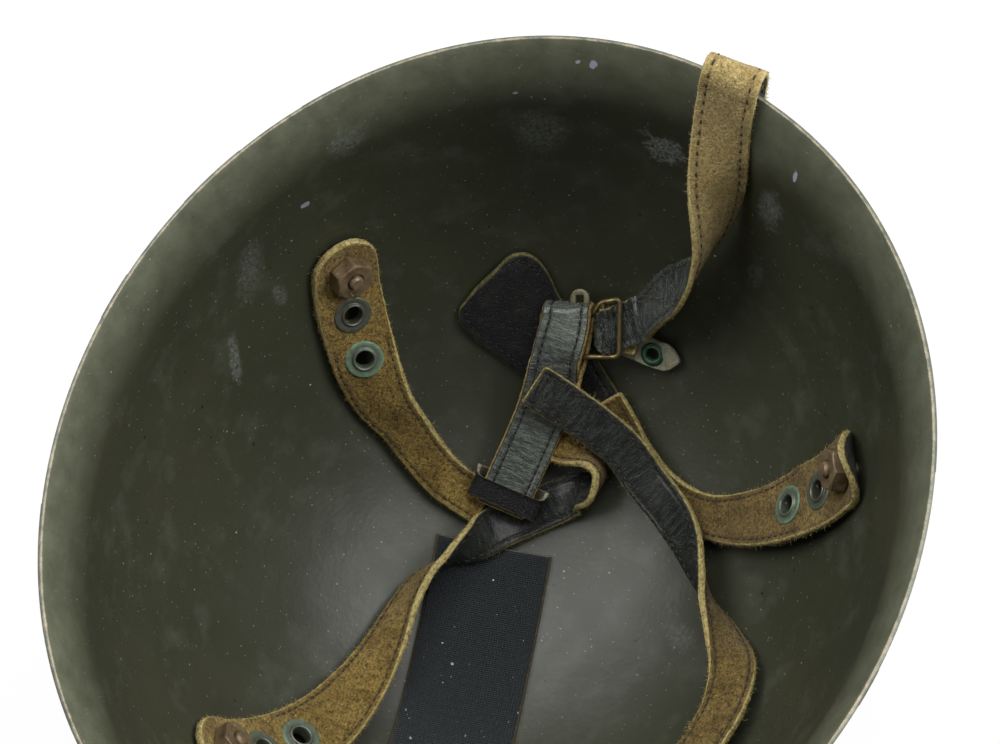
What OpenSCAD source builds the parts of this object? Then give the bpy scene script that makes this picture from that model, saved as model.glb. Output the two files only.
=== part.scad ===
// Paratrooper helmet lying on its crown with the open side up.
// A pressed steel shell, four leather harness legs held by bolts and nuts, a buckle strap
// with its wire buckle, a chin strap laid over the rim, a chin pad and a ribbed crown patch.
// Millimetres. Origin at the lowest outer point of the crown, +Z up out of the open side,
// +Y toward the rear, +X toward the wearer's right.

/* [Shell] */
// Inside width between the rims at the sides
inner_w = 244; // [200:1:290]
// Inside length between the rims at front and rear
inner_l = 282; // [240:1:330]
// Height from the crown to the rim
shell_h = 160; // [130:1:200]
// Steel thickness
wall = 1.4; // [1:0.1:2.5]
// Share of the half width that the rim flares out
flare = 0.06; // [0:0.005:0.1]
// Height of the flared band below the rim
flare_h = 26; // [16:1:40]

/* [Straps] */
// Thickness of the harness leather
strap_t = 2.8; // [1.6:0.1:3]
// Width of the harness legs away from the bolts
leg_w = 15; // [10:0.5:18]
// Width of the rounded bolt ends of the legs
end_w = 24; // [20:0.5:28]
// Width of the buckle strap
buckle_strap_w = 18; // [14:0.5:20]
// Width of the chin strap
chin_strap_w = 18.5; // [14:0.5:20]
// Width of the chin pad
pad_w = 30; // [22:0.5:34]
// Thickness of the chin strap
chin_t = 2; // [1.4:0.1:2.4]
// Length of chin strap that hangs outside the rim
hang = 76; // [30:1:110]

/* [Bolts and nuts] */
// Bolt shank diameter
bolt_d = 5; // [4:0.1:6]
// Bolt head diameter on the outside of the shell
head_d = 14; // [10:0.5:18]
// Nut size across the flats
nut_af = 12.5; // [10:0.5:14]
// Nut height
nut_h = 5.5; // [4:0.5:8]
// Radial play between bolt and hole
bolt_play = 0.3; // [0.2:0.05:0.6]
// Radial play between bolt and nut bore
thread_play = 0.1; // [0.05:0.05:0.2]

/* [Eyelets] */
// Eyelet flange diameter
eyelet_d = 13; // [10:0.5:14]
// Eyelet bore diameter
eyelet_bore = 5.6; // [4:0.2:7]
// Distance from bolt to the first eyelet and between eyelets
eyelet_step = 17; // [14:0.5:18]

/* [Buckle and loop] */
// Width of the wire buckle along the fold
frame_w = 28; // [27:0.5:30]
// Height of the wire buckle at its free side
frame_h = 20; // [19:0.5:22]
// Wire diameter
wire_d = 1.8; // [1.2:0.1:2.2]
// Length of the keeper loop along the strap
loop_l = 11; // [7:0.5:14]
// Thickness of the keeper loop
loop_t = 1.3; // [0.8:0.1:1.6]
// Free height inside the keeper loop
loop_gap = 4.8; // [4.4:0.1:5.4]
// Lift of the keeper loop's middle off the middle of the strap
loop_lift = 0.3; // [0:0.05:0.4]

/* [Crown patch] */
// Width of the ribbed patch
patch_w = 40; // [24:1:50]
// Length of the ribbed patch
patch_l = 104; // [60:1:120]
// Thickness of the ribbed webbing
patch_t = 1.8; // [1:0.1:2.4]
// Thickness of the backing under it
backing_t = 1.1; // [0.6:0.1:1.6]

/* [Hidden] */
$fn = 48;
half_w = inner_w / 2;
half_l = inner_l / 2;
rho_b = 1 - flare;
bow = 2.2;
bowl_d = shell_h * 0.9125;
around = 64;
gap = 0.3;
seat = 1.1 + strap_t / 2;
steel = [0.22, 0.23, 0.19];
suede = [0.52, 0.42, 0.26];
grain = [0.13, 0.14, 0.15];
brass = [0.55, 0.47, 0.28];
lacquer = [0.33, 0.26, 0.22];
gunmetal = [0.27, 0.28, 0.27];
web = [0.12, 0.14, 0.17];

function unit(v) = v / norm(v);
function mix(a, b, t) = a * (1 - t) + b * t;

// Inner surface height at a plan place, and the direction into the hollow there.
function bowl_z(x, y) =
    let (r = min(0.995, norm([x / half_w, y / half_l]) / rho_b))
    wall + bowl_d * (1 - pow(1 - pow(r, bow), 1 / bow));
function bowl_n(x, y) =
    let (e = 0.1)
    unit([(bowl_z(x - e, y) - bowl_z(x + e, y)) / (2 * e),
        (bowl_z(x, y - e) - bowl_z(x, y + e)) / (2 * e), 1]);
// A point given by shares of the half width and half length, and the lift off the surface.
function spot(xf, yf, lift) =
    let (x = xf * half_w, y = yf * half_l)
    [x, y, bowl_z(x, y)] + bowl_n(x, y) * lift;

// Smooth rows between rows, several steps per span.
function blend(a, b, c, d, t) =
    0.5 * (2 * b + (c - a) * t + (2 * a - 5 * b + 4 * c - d) * t * t
    + (3 * b - a - 3 * c + d) * t * t * t);
function fine(r, n) =
    [for (i = [0 : len(r) - 2]) for (j = [0 : n - 1])
        blend(r[max(0, i - 1)], r[i], r[i + 1], r[min(len(r) - 1, i + 2)], j / n), r[len(r) - 1]];

// Rows of place, lift, turn and width become frames of point, across, normal, width, travel.
function tangent(p, i) = unit(p[min(i + 1, len(p) - 1)] - p[max(i - 1, 0)]);
function bowl_frames(r) =
    let (p = [for (q = r) spot(q[0], q[1], q[2])])
    [for (i = [0 : len(r) - 1])
        let (n0 = bowl_n(r[i][0] * half_w, r[i][1] * half_l),
            t0 = tangent(p, i),
            t = i == 0 ? unit(t0 - (t0 * n0) * n0) : t0,
            a0 = unit(cross(t, n0)),
            n1 = cross(a0, t),
            c = cos(r[i][3]),
            s = sin(r[i][3]))
        [p[i], a0 * c + n1 * s, n1 * c - a0 * s, r[i][4], t]];
// Rows of point, across hint and width become the same kind of frames.
function free_frames(r) =
    let (p = [for (q = r) [q[0], q[1], q[2]]])
    [for (i = [0 : len(r) - 1])
        let (t = tangent(p, i),
            h = [r[i][3], r[i][4], r[i][5]],
            a = unit(h - (h * t) * t))
        [p[i], a, cross(a, t), r[i][6], t]];
// A rounded end before the first frame.
function round_end(f, w) =
    [for (k = [76, 60, 44, 28, 14])
        [f[0][0] - f[0][4] * (w / 2 * sin(k)), f[0][1], f[0][2], w * cos(k), f[0][4]]];
// Travelled length up to a frame, and the frame at a length.
function runs(f) =
    [for (i = 0, s = 0; i < len(f); s = i + 1 < len(f) ? s + norm(f[i + 1][0] - f[i][0]) : s, i = i + 1) s];
function at_len(f, s) =
    let (c = runs(f),
        k = max([for (i = [0 : len(f) - 2]) c[i] <= s ? i : 0]),
        t = (s - c[k]) / max(0.001, c[k + 1] - c[k]))
    [mix(f[k][0], f[k + 1][0], t), unit(mix(f[k][1], f[k + 1][1], t)),
        unit(mix(f[k][2], f[k + 1][2], t)), 0, unit(mix(f[k][4], f[k + 1][4], t))];

// Places children with X across, Y along the travel and Z along the face.
module at_frame(f) {
    z = f[2];
    y = unit(f[4] - (f[4] * z) * z);
    x = cross(y, z);
    p = f[0];
    multmatrix([[x[0], y[0], z[0], p[0]], [x[1], y[1], z[1], p[1]],
        [x[2], y[2], z[2], p[2]], [0, 0, 0, 1]])
        children();
}

// A leather band through its frames.
module band(f, t) {
    n = len(f);
    pts = [for (q = f) for (c = [[-1, -1], [1, -1], [1, 1], [-1, 1]])
        q[0] + q[1] * (c[0] * q[3] / 2) + q[2] * (c[1] * t / 2)];
    sides = [for (i = [0 : n - 2]) for (k = [0 : 3])
        let (a = i * 4 + k, b = i * 4 + (k + 1) % 4)
        each [[a, b, b + 4], [a, b + 4, a + 4]]];
    e = (n - 1) * 4;
    polyhedron(points = pts,
        faces = concat(sides, [[0, 3, 2], [0, 2, 1], [e, e + 1, e + 2], [e, e + 2, e + 3]]),
        convexity = 10);
}

// Shell section: share of the rim outline and height, from the crown to the rim.
function rho_at(z) =
    let (k = min(1, (z - wall) / bowl_d))
    rho_b * pow(1 - pow(1 - k, bow), 1 / bow)
    + flare * pow(max(0, (z - shell_h + flare_h) / flare_h), 1.7);
turn_z = wall + bowl_d * (1 - pow(cos(75), 2 / bow));
function section(u) = u <= 0.6
    ? let (a = u / 0.6 * 75)
        [rho_b * pow(sin(a), 2 / bow), wall + bowl_d * (1 - pow(cos(a), 2 / bow))]
    : let (z = mix(turn_z, shell_h, (u - 0.6) / 0.4))
        [rho_at(z), z];
levels = [for (k = [1 : 10]) k * 0.06, for (k = [1 : 8]) 0.6 + k * 0.05];
function skin(u, a, off) =
    let (s = section(u),
        d = section(min(1, u + 0.002)) - section(max(0.001, u - 0.002)),
        rim = u > 0.999,
        x = half_w * cos(a),
        y = half_l * sin(a),
        n = unit([-cos(a) / half_w * d[1], -sin(a) / half_l * d[1], rim ? 0 : d[0]]))
    [x * s[0], y * s[0], s[1]] - n * off;

anchors = [[-0.735, 0.475], [0.735, 0.475], [-0.474, -0.642], [0.474, -0.642]];
function anchor_frame(k) =
    let (x = anchors[k][0], y = anchors[k][1],
        n = bowl_n(x * half_w, y * half_l),
        t = unit(cross(n, [0, 0, 1])))
    [spot(x, y, 0), cross(t, n), n, 0, t];

// Harness legs: share of half width, share of half length, lift, turn, width.
far = end_w - 1;
mid = (end_w + leg_w) / 2;
rear_left = fine([[-0.735, 0.475, seat, 0, end_w], [-0.724, 0.444, 3.2, -4, end_w],
    [-0.695, 0.402, 5.4, -12, far], [-0.656, 0.357, 8, -24, far - 1], [-0.6, 0.322, 8.8, -36, mid + 1],
    [-0.526, 0.303, 8.6, -36, mid - 2], [-0.454, 0.277, 8, -28, leg_w + 1],
    [-0.369, 0.252, 6.6, -10, leg_w], [-0.3, 0.245, 4.9, 0, leg_w], [-0.242, 0.242, 3.8, 0, leg_w]], 4);
rear_right = fine([[0.735, 0.475, seat, 0, end_w], [0.702, 0.455, 3.6, -4, end_w],
    [0.654, 0.44, 4.8, -8, end_w], [0.605, 0.422, 5.5, -10, far - 1], [0.546, 0.408, 6, -9, mid],
    [0.473, 0.4, 5.6, -6, leg_w + 2], [0.394, 0.398, 4.6, -1, leg_w], [0.305, 0.41, 3.8, 8, leg_w],
    [0.206, 0.442, 3.8, 10, leg_w], [0.11, 0.492, 4.4, 8, leg_w], [0.045, 0.535, 5, 3, leg_w],
    [-0.02, 0.572, 5.4, 0, leg_w]], 4);
front_left = fine([[-0.474, -0.642, seat, 0, end_w], [-0.44, -0.615, 3, 3, end_w],
    [-0.39, -0.558, 4.4, 6, end_w], [-0.347, -0.46, 6.8, 8, far - 1], [-0.328, -0.345, 9, 16, mid - 1],
    [-0.324, -0.225, 10, 38, leg_w + 1], [-0.33, -0.1, 10.6, 62, leg_w], [-0.318, 0, 11.2, 78, leg_w],
    [-0.281, 0.065, 11.4, 95, leg_w], [-0.234, 0.128, 10.8, 130, leg_w], [-0.185, 0.197, 6, 174, leg_w],
    [-0.115, 0.266, 2.8, 180, leg_w], [-0.05, 0.322, 2.6, 184, leg_w], [0, 0.362, 4.2, 200, leg_w],
    [0.04, 0.378, 7, 236, leg_w], [0.056, 0.405, 8.8, 262, leg_w], [0.046, 0.432, 9, 272, leg_w],
    [0.01, 0.449, 8.8, 286, leg_w], [-0.045, 0.457, 8.2, 316, leg_w], [-0.103, 0.459, 8, 346, leg_w],
    [-0.155, 0.457, 8, 358, leg_w]], 4);
front_right = fine([[0.474, -0.642, seat, 0, end_w], [0.53, -0.58, 3.2, -5, end_w],
    [0.585, -0.49, 5, -12, far], [0.635, -0.385, 7.6, -20, mid], [0.675, -0.27, 9.4, -25, leg_w + 1],
    [0.697, -0.16, 9.6, -26, leg_w], [0.7, -0.06, 9, -30, leg_w], [0.672, 0.04, 8.8, -46, leg_w],
    [0.605, 0.122, 8.6, -76, leg_w], [0.525, 0.198, 8.8, -106, leg_w], [0.46, 0.262, 9.6, -136, leg_w],
    [0.39, 0.333, 10, -160, leg_w], [0.305, 0.392, 9.8, -176, leg_w], [0.206, 0.443, 10.2, -180, leg_w],
    [0.105, 0.498, 11.4, -180, leg_w], [0.002, 0.531, 13.6, -180, leg_w], [-0.097, 0.551, 16, -184, leg_w],
    [-0.18, 0.562, 17, -187, leg_w], [-0.26, 0.566, 17.2, -187, leg_w]], 4);

// Buckle axes: X along the bars across the strap, Y toward the fold, Z off the surface.
buckle_at = [-0.139, 0.701];
buckle_lift = 10.2;
bk_x = unit([0.94, 0.26, 0.24]);
bk_n = unit(cross(bk_x, [-0.35, 0.77, 0.54]));
bk_y = cross(bk_n, bk_x);
bk_p = spot(buckle_at[0], buckle_at[1], buckle_lift);
function bk(x, y, z) = bk_p + bk_x * x + bk_y * y + bk_n * z;
bk_frame = [bk_p, bk_x, bk_n, 0, bk_y];
fold_r = wire_d / 2 + 0.5 + strap_t / 2;
fold_w = buckle_strap_w - 1;
fold_x = -4.8;
bar_y = 5.6;
left_x = fold_x - fold_w / 2 - 1.4;
right_x = left_x + frame_w - 0.9;
top_y = 10.7;
low_y = top_y - frame_h + 0.4;
mid_bar = 7.2;
ear_x = -0.8;

function row(p, a, w) = [p[0], p[1], p[2], a[0], a[1], a[2], w];
// Buckle strap: up from the keeper, over the top bar of the buckle and back down behind it.
foot = bowl_frames(fine([[-0.19, 0.195, 10.4, 0, buckle_strap_w], [-0.192, 0.275, 10.4, 0, buckle_strap_w],
    [-0.191, 0.35, 10.7, -2, buckle_strap_w], [-0.187, 0.43, 11.2, -4, buckle_strap_w],
    [-0.184, 0.489, 12.2, -5, buckle_strap_w], [-0.184, 0.54, 13.3, -6, buckle_strap_w],
    [-0.188, 0.59, 14.2, -6, buckle_strap_w]], 4));
buckle_rows = concat(
    [for (i = [0 : 2 : len(foot) - 1]) row(foot[i][0], foot[i][1], buckle_strap_w)],
    [for (q = [[-9, -10.6, 3.5], [-7.7, -6, 3.3], [-6.2, -1, 3]]) row(bk(q[0], q[1], q[2]), bk_x, buckle_strap_w - 0.5)],
    [row(bk(fold_x - 0.3, 3, fold_r), bk_x, fold_w)],
    [for (a = [0 : 22.5 : 180])
        row(bk(fold_x, bar_y + fold_r * sin(a), fold_r * cos(a)), bk_x, fold_w)],
    [for (q = [[-5.1, 3, -2.7], [-6.2, -2, -2.7], [-7.4, -7, -2.7], [-8.4, -11, -2.6], [-9.4, -15, -1.5],
        [-10.3, -19, -0.8]])
        row(bk(q[0], q[1], q[2]), bk_x, fold_w)]);
buckle_line = free_frames(buckle_rows);

// Chin strap: hanging outside, over the rim, down the rear wall, turning over, through the buckle.
function at_share(x, y, z) = [x * half_w, y * half_l, z * shell_h];
rear = [0.137, 0.992];
out_y = half_l * rear[1] + wall + gap + 0.2 + chin_t / 2;
function rim_row(x, dy, z, w) = row([x, out_y + dy, shell_h + z], [-1, 0, 0], w);
wrap_r = wire_d / 2 + gap + chin_t / 2;
wrap_w = 15;
chin_rows = concat(
    [for (z = [0 : 4]) rim_row(16.8, 0.4, -hang + z * (hang - 8) / 4, chin_strap_w)],
    [rim_row(16.7, 1.8, 1, chin_strap_w), rim_row(16.6, 0.6, 5, chin_strap_w),
        rim_row(16.5, -2.6, 6.4, chin_strap_w), rim_row(16.5, -6.2, 3.6, chin_strap_w),
        rim_row(16.5, -8.4, -3, chin_strap_w)],
    [row(at_share(0.137, 0.934, 0.93), [-1, 0.18, 0], chin_strap_w),
        row(at_share(0.145, 0.904, 0.87), [-1, 0.12, 0.05], chin_strap_w),
        row(at_share(0.156, 0.871, 0.8), [-0.85, -0.3, 0.4], chin_strap_w),
        row(at_share(0.168, 0.838, 0.725), [-0.5, -0.6, 0.65], chin_strap_w),
        row(at_share(0.172, 0.803, 0.655), [-0.1, -0.75, 0.65], chin_strap_w),
        row(at_share(0.155, 0.77, 0.59), [0.1, -0.9, 0.45], chin_strap_w),
        row(at_share(0.118, 0.744, 0.53), [0.25, -0.95, 0.05], chin_strap_w),
        row(at_share(0.075, 0.727, 0.475), [0.25, -0.8, -0.5], chin_strap_w)],
    [row(bk(20.4, 4.4, -wrap_r - 1), -bk_y, wrap_w + 1)],
    [for (q = [[15, 2, -wrap_r - 0.4], [12.4, 1, -wrap_r - 0.1], [10.6, 0.3, -1.2], [9, -0.1, 1.2]]) row(bk(q[0], q[1], q[2]), -bk_y, wrap_w)],
    [for (a = [0 : 30 : 180])
        row(bk(mid_bar - wrap_r * sin(a), -0.3, wrap_r * cos(a)), -bk_y, wrap_w - 6 * sin(a))],
    [for (q = [[10.2, -0.3, -wrap_r - 1.5], [13.4, -0.8, -wrap_r - chin_t - 0.7], [18, -2, -wrap_r - chin_t - 1.2]])
        row(bk(q[0], q[1], q[2]), -bk_y, wrap_w)]);
chin_line = free_frames(fine(chin_rows, 2));

// Chin pad: both ends of each row across it, as shares, from its free end to its tail.
pad_t = strap_t - 0.4;
pad_edges = fine([[-0.375, 0.723, -0.46, 0.608], [-0.346, 0.738, -0.472, 0.58], [-0.311, 0.744, -0.452, 0.56],
    [-0.274, 0.736, -0.404, 0.554], [-0.231, 0.713, -0.339, 0.551], [-0.174, 0.689, -0.264, 0.545],
    [-0.109, 0.658, -0.181, 0.531], [-0.059, 0.631, -0.112, 0.518], [-0.006, 0.604, -0.048, 0.512],
    [0.047, 0.571, 0.012, 0.492], [0.095, 0.537, 0.066, 0.464]], 2);
pad_rows = [for (i = [0 : len(pad_edges) - 1])
    let (q = pad_edges[i],
        a = spot(q[0], q[1], 1.8),
        b = spot(q[2], q[3], 1.8),
        c = unit(b - a),
        m = (a + b) / 2,
        n0 = bowl_n(m[0], m[1]),
        n = unit(n0 - (n0 * c) * c))
    [m, c, n, norm(b - a), cross(n, c)]];

loop_at = at_len(foot, 13);
keeper_w = buckle_strap_w + 4.5;

tab_t = 1.6;
tab_a = bk(11.5, -4.4, -wrap_r - chin_t * 1.5 - tab_t / 2 - 1.5);
tab_b = bk(21.8, -8.9, -9.1);
tab_c = bk(31, -11.3, -8);
tab_across = -bk_y - bk_n * 0.15;
tab_frames = free_frames(concat(
    [for (q = fine([tab_a, mix(tab_a, tab_b, 0.5), tab_b, mix(tab_b, tab_c, 0.45)], 2)) row(q, tab_across, 10)],
    [row(mix(tab_b, tab_c, 0.72), tab_across, 7.4), row(tab_c, tab_across, 1.6)]));

module shell() {
    n = around;
    m = len(levels);
    in_pts = [for (u = levels) for (i = [0 : n - 1]) skin(u, i * 360 / n, 0)];
    out_pts = [for (u = levels) for (i = [0 : n - 1]) skin(u, i * 360 / n, wall)];
    o = m * n;
    pi_ = 2 * o;
    po = 2 * o + 1;
    in_f = [for (k = [0 : m - 2]) for (i = [0 : n - 1])
        let (a = k * n + i, b = k * n + (i + 1) % n)
        each [[a, b + n, b], [a, a + n, b + n]]];
    out_f = [for (k = [0 : m - 2]) for (i = [0 : n - 1])
        let (a = o + k * n + i, b = o + k * n + (i + 1) % n)
        each [[a, b, b + n], [a, b + n, a + n]]];
    caps = [for (i = [0 : n - 1]) each [[pi_, i, (i + 1) % n], [po, o + (i + 1) % n, o + i]]];
    rim = [for (i = [0 : n - 1])
        let (a = (m - 1) * n + i, b = (m - 1) * n + (i + 1) % n)
        each [[a, o + b, b], [a, o + a, o + b]]];
    color(steel)
        difference() {
            polyhedron(points = concat(in_pts, out_pts, [[0, 0, wall], [0, 0, 0]]),
                faces = concat(in_f, out_f, caps, rim), convexity = 6);
            for (k = [0 : 3])
                at_frame(anchor_frame(k))
                    cylinder(d = bolt_d + 2 * bolt_play, h = 12, center = true);
        }
}

// One leg with its bolt hole and two spare holes.
module leg(r) {
    f = bowl_frames(r);
    color(suede)
        difference() {
            band(concat(round_end(f, end_w), f), strap_t);
            at_frame(f[0])
                cylinder(d = bolt_d + 2 * bolt_play, h = strap_t * 3, center = true);
            for (k = [1, 2])
                at_frame(at_len(f, k * eyelet_step))
                    cylinder(d = eyelet_bore + 1.8, h = strap_t * 3, center = true);
        }
}
module rear_left_strap() leg(rear_left);
module rear_right_strap() leg(rear_right);
module front_left_strap() leg(front_left);
module front_right_strap() leg(front_right);

// Two pressed rings, each with a rolled flange on both faces of the leather.
module eyelet(t, bore, d) {
    rotate_extrude()
        polygon([[bore / 2, -t / 2 - 0.5], [bore / 2 + 0.5, -t / 2 - 0.8], [d / 2 - 0.7, -t / 2 - 0.7],
            [d / 2, -t / 2 - 0.1], [bore / 2 + 0.7, -t / 2 - 0.1], [bore / 2 + 0.7, t / 2 + 0.1],
            [d / 2, t / 2 + 0.1], [d / 2 - 0.7, t / 2 + 0.7], [bore / 2 + 1.4, t / 2 + 1],
            [bore / 2 + 0.5, t / 2 + 1.1], [bore / 2, t / 2 + 0.7]]);
}
module eyelets(r) {
    f = bowl_frames(r);
    color(gunmetal)
        for (k = [1, 2])
            at_frame(at_len(f, k * eyelet_step))
                eyelet(strap_t, eyelet_bore, eyelet_d);
}
module rear_left_eyelets() eyelets(rear_left);
module rear_right_eyelets() eyelets(rear_right);
module front_left_eyelets() eyelets(front_left);
module front_right_eyelets() eyelets(front_right);

// Low domed slotted head outside, shank through shell and leather, end past the nut.
module bolt(k) {
    under = -wall - 0.2;
    top = seat + strap_t / 2 + gap + nut_h + 1.6;
    color(lacquer)
        at_frame(anchor_frame(k))
            difference() {
                union() {
                    translate([0, 0, under - 0.1])
                        cylinder(d = bolt_d, h = top - under - 0.9);
                    translate([0, 0, top - 1])
                        cylinder(d1 = bolt_d, d2 = bolt_d - 1.2, h = 0.8);
                    translate([0, 0, under])
                        rotate_extrude()
                            polygon([[0, 0], [head_d / 2, 0], [head_d / 2, -0.9], [head_d / 2 - 0.8, -1.7],
                                [head_d / 2 - 2.4, -2.4], [head_d / 2 - 4.6, -2.8], [0, -3]]);
                }
                translate([-head_d / 2 - 1, -0.7, under - 3.4])
                    cube([head_d + 2, 1.4, 1.8]);
            }
}
module rear_left_bolt() bolt(0);
module rear_right_bolt() bolt(1);
module front_left_bolt() bolt(2);
module front_right_bolt() bolt(3);

// Tall hexagon nut with chamfered corners.
module nut(k, spin) {
    across = nut_af / cos(30);
    color(lacquer)
        at_frame(anchor_frame(k))
            translate([0, 0, seat + strap_t / 2 + gap])
                difference() {
                    intersection() {
                        rotate(spin)
                            cylinder(d = across, h = nut_h, $fn = 6);
                        rotate_extrude()
                            polygon([[0, 0], [across / 2 - 0.3, 0], [across / 2 + 0.2, 0.4],
                                [across / 2 + 0.2, nut_h - 0.9], [across / 2 - 1.2, nut_h], [0, nut_h]]);
                    }
                    translate([0, 0, -1])
                        cylinder(d = bolt_d + 2 * thread_play, h = nut_h + 2);
                }
}
module rear_left_nut() nut(0, 12);
module rear_right_nut() nut(1, 0);
module front_left_nut() nut(2, 20);
module front_right_nut() nut(3, 6);

module buckle_strap() {
    color(grain)
        difference() {
            band(buckle_line, strap_t);
            at_frame(bk_frame)
                translate([ear_x, bar_y, 0]) {
                    translate([-4, -0.6, -fold_r - strap_t])
                        cube([8, 9, fold_r + strap_t + 1.2]);
                    rotate([0, 90, 0])
                        cylinder(r = wire_d / 2 + 1.55, h = 5, center = true);
                }
        }
}

// Rounded band around the foot of the buckle strap.
module keeper_loop() {
    w = keeper_w;
    h = loop_gap;
    color(grain)
        at_frame(loop_at)
            rotate([90, 0, 0])
                translate([0, loop_lift, -loop_l / 2])
                    linear_extrude(height = loop_l)
                        difference() {
                            rounded(w + 2 * loop_t, h + 2 * loop_t, h / 2 + loop_t - 0.2);
                            rounded(w, h, h / 2 - 0.2);
                        }
}
module rounded(w, h, r) {
    square([w - 2 * r, h], center = true);
    square([w, h - 2 * r], center = true);
    for (x = [-1, 1])
        for (y = [-1, 1])
            translate([x * (w / 2 - r), y * (h / 2 - r)])
                circle(r = r);
}

// Bent wire: bars that cross a little at each bend, every second one slightly thinner.
module bar(p, q, d, more) {
    v = q - p;
    translate([p[0], p[1], 0])
        rotate([0, 0, atan2(v[1], v[0])])
            translate([-more, 0, 0])
                rotate([0, 90, 0])
                    cylinder(d = d, h = norm(v) + 2 * more);
}
frame_bends = [[left_x, bar_y], [3.6, bar_y], [6.4, top_y - 1.3], [right_x + 0.9, top_y], [right_x, low_y],
    [left_x, low_y - 0.6]];
module buckle_frame() {
    color(brass)
        at_frame(bk_frame) {
            for (i = [0 : 5])
                bar(frame_bends[i], frame_bends[(i + 1) % 6], wire_d - 0.14 * (i % 2), 0.45);
            bar([mid_bar, low_y - 0.1], [mid_bar, top_y - 1.4], wire_d - 0.24, 0);
        }
}

// Flat eye with a square hole, curled round the top bar.
module buckle_ear() {
    play = 0.25;
    outer = wire_d / 2 + play + 1;
    color(brass)
        at_frame(bk_frame)
            translate([ear_x, bar_y, 0])
                difference() {
                    union() {
                        translate([-2.2, 0, 0])
                            rotate([0, 90, 0])
                                cylinder(r = outer, h = 4.4);
                        translate([-2.2, 1, -0.6])
                            cube([4.4, 3, 1.2]);
                        translate([0, 4.9, -0.6])
                            cylinder(r = 3.4, h = 1.2);
                    }
                    translate([-3, 0, 0])
                        rotate([0, 90, 0])
                            cylinder(r = wire_d / 2 + play, h = 6);
                    translate([-1.4, 3.5, -2])
                        cube([2.8, 2.8, 4]);
                }
}

module chin_pad() {
    color(grain)
        band(pad_rows, pad_t);
}
module chin_strap() {
    color(suede)
        band(chin_line, chin_t);
}

// Narrow pointed tab under the end of the chin strap.
module tip_tab() {
    color([0.55, 0.55, 0.5])
        difference() {
            band(tab_frames, tab_t);
            at_frame(tab_frames[4])
                rotate(20)
                    cylinder(d = 4 + 1.7, h = 8, center = true);
        }
}
module tip_eyelet() {
    color(gunmetal)
        at_frame(tab_frames[4])
            eyelet(tab_t, 4, 7.8);
}

// Strip that follows the crown: rows across its width at steps along its length.
patch_from = [-0.164, 0.163];
patch_way = unit([0.24, -0.97]);
module strip(lo, hi, w, l, inset) {
    nx = 6;
    ny = 14;
    side = [-patch_way[1], patch_way[0]];
    base = [patch_from[0] * half_w, patch_from[1] * half_l];
    function place(i, j, h) =
        let (q = base + side * (w * (i / nx - 0.5)) + patch_way * (inset + (l - 2 * inset) * j / ny))
        [q[0], q[1], bowl_z(q[0], q[1])] + bowl_n(q[0], q[1]) * h;
    pts = [for (h = [lo, hi]) for (j = [0 : ny]) for (i = [0 : nx]) place(i, j, h)];
    c = (nx + 1) * (ny + 1);
    flat = [for (j = [0 : ny - 1]) for (i = [0 : nx - 1])
        let (a = j * (nx + 1) + i, b = a + 1, d = a + nx + 1, e = d + 1)
        each [[a, b, e], [a, e, d], [c + a, c + e, c + b], [c + a, c + d, c + e]]];
    ends = [for (i = [0 : nx - 1])
        let (a = i, b = i + 1, g = ny * (nx + 1) + i, k = g + 1)
        each [[a, c + b, b], [a, c + a, c + b], [g, k, c + k], [g, c + k, c + g]]];
    edges = [for (j = [0 : ny - 1])
        let (a = j * (nx + 1), d = a + nx + 1, g = a + nx, k = g + nx + 1)
        each [[a, d, c + d], [a, c + d, c + a], [g, c + k, k], [g, c + g, c + k]]];
    polyhedron(points = pts, faces = concat(flat, ends, edges), convexity = 6);
}
module patch_backing() {
    color([0.3, 0.24, 0.17])
        strip(1.5 * gap, 1.5 * gap + backing_t, patch_w, patch_l, 0);
}
module crown_patch() {
    color(web)
        strip(2.5 * gap + backing_t, 2.5 * gap + backing_t + patch_t, patch_w - 0.8, patch_l, 0.4);
}

shell();
patch_backing();
crown_patch();
rear_left_strap();
rear_right_strap();
front_left_strap();
front_right_strap();
rear_left_eyelets();
rear_right_eyelets();
front_left_eyelets();
front_right_eyelets();
rear_left_bolt();
rear_right_bolt();
front_left_bolt();
front_right_bolt();
rear_left_nut();
rear_right_nut();
front_left_nut();
front_right_nut();
buckle_strap();
keeper_loop();
buckle_frame();
buckle_ear();
chin_pad();
chin_strap();
tip_tab();
tip_eyelet();
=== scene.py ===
"""Paratrooper helmet lying on its crown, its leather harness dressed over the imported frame."""
import logging
import math
from dataclasses import dataclass, field
from enum import Enum
from functools import reduce
from typing import Any, Callable, Sequence

import bmesh
import bpy
import numpy as np
from mathutils import Matrix, Vector, noise


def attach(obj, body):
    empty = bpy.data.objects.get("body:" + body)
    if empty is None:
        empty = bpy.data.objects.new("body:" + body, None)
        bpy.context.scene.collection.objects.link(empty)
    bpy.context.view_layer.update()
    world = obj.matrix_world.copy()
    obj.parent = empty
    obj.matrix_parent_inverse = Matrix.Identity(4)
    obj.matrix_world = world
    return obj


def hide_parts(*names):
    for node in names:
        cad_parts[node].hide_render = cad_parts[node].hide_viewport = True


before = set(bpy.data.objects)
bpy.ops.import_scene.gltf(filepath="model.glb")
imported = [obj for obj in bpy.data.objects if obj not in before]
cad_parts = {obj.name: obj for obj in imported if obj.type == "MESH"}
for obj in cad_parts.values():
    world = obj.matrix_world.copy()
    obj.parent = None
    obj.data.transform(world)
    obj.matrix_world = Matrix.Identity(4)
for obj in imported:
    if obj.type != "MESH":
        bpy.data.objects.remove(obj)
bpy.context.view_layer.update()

MM = 0.001
LOG = logging.getLogger("helmet")
WHITE = (1, 1, 1, 1)
Rows = Sequence[Sequence[float]]
Line = Sequence[tuple[float, float, float, float]]
Colour = tuple[float, ...]
Socket = bpy.types.NodeSocket
BMesh = bmesh.types.BMesh


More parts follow.
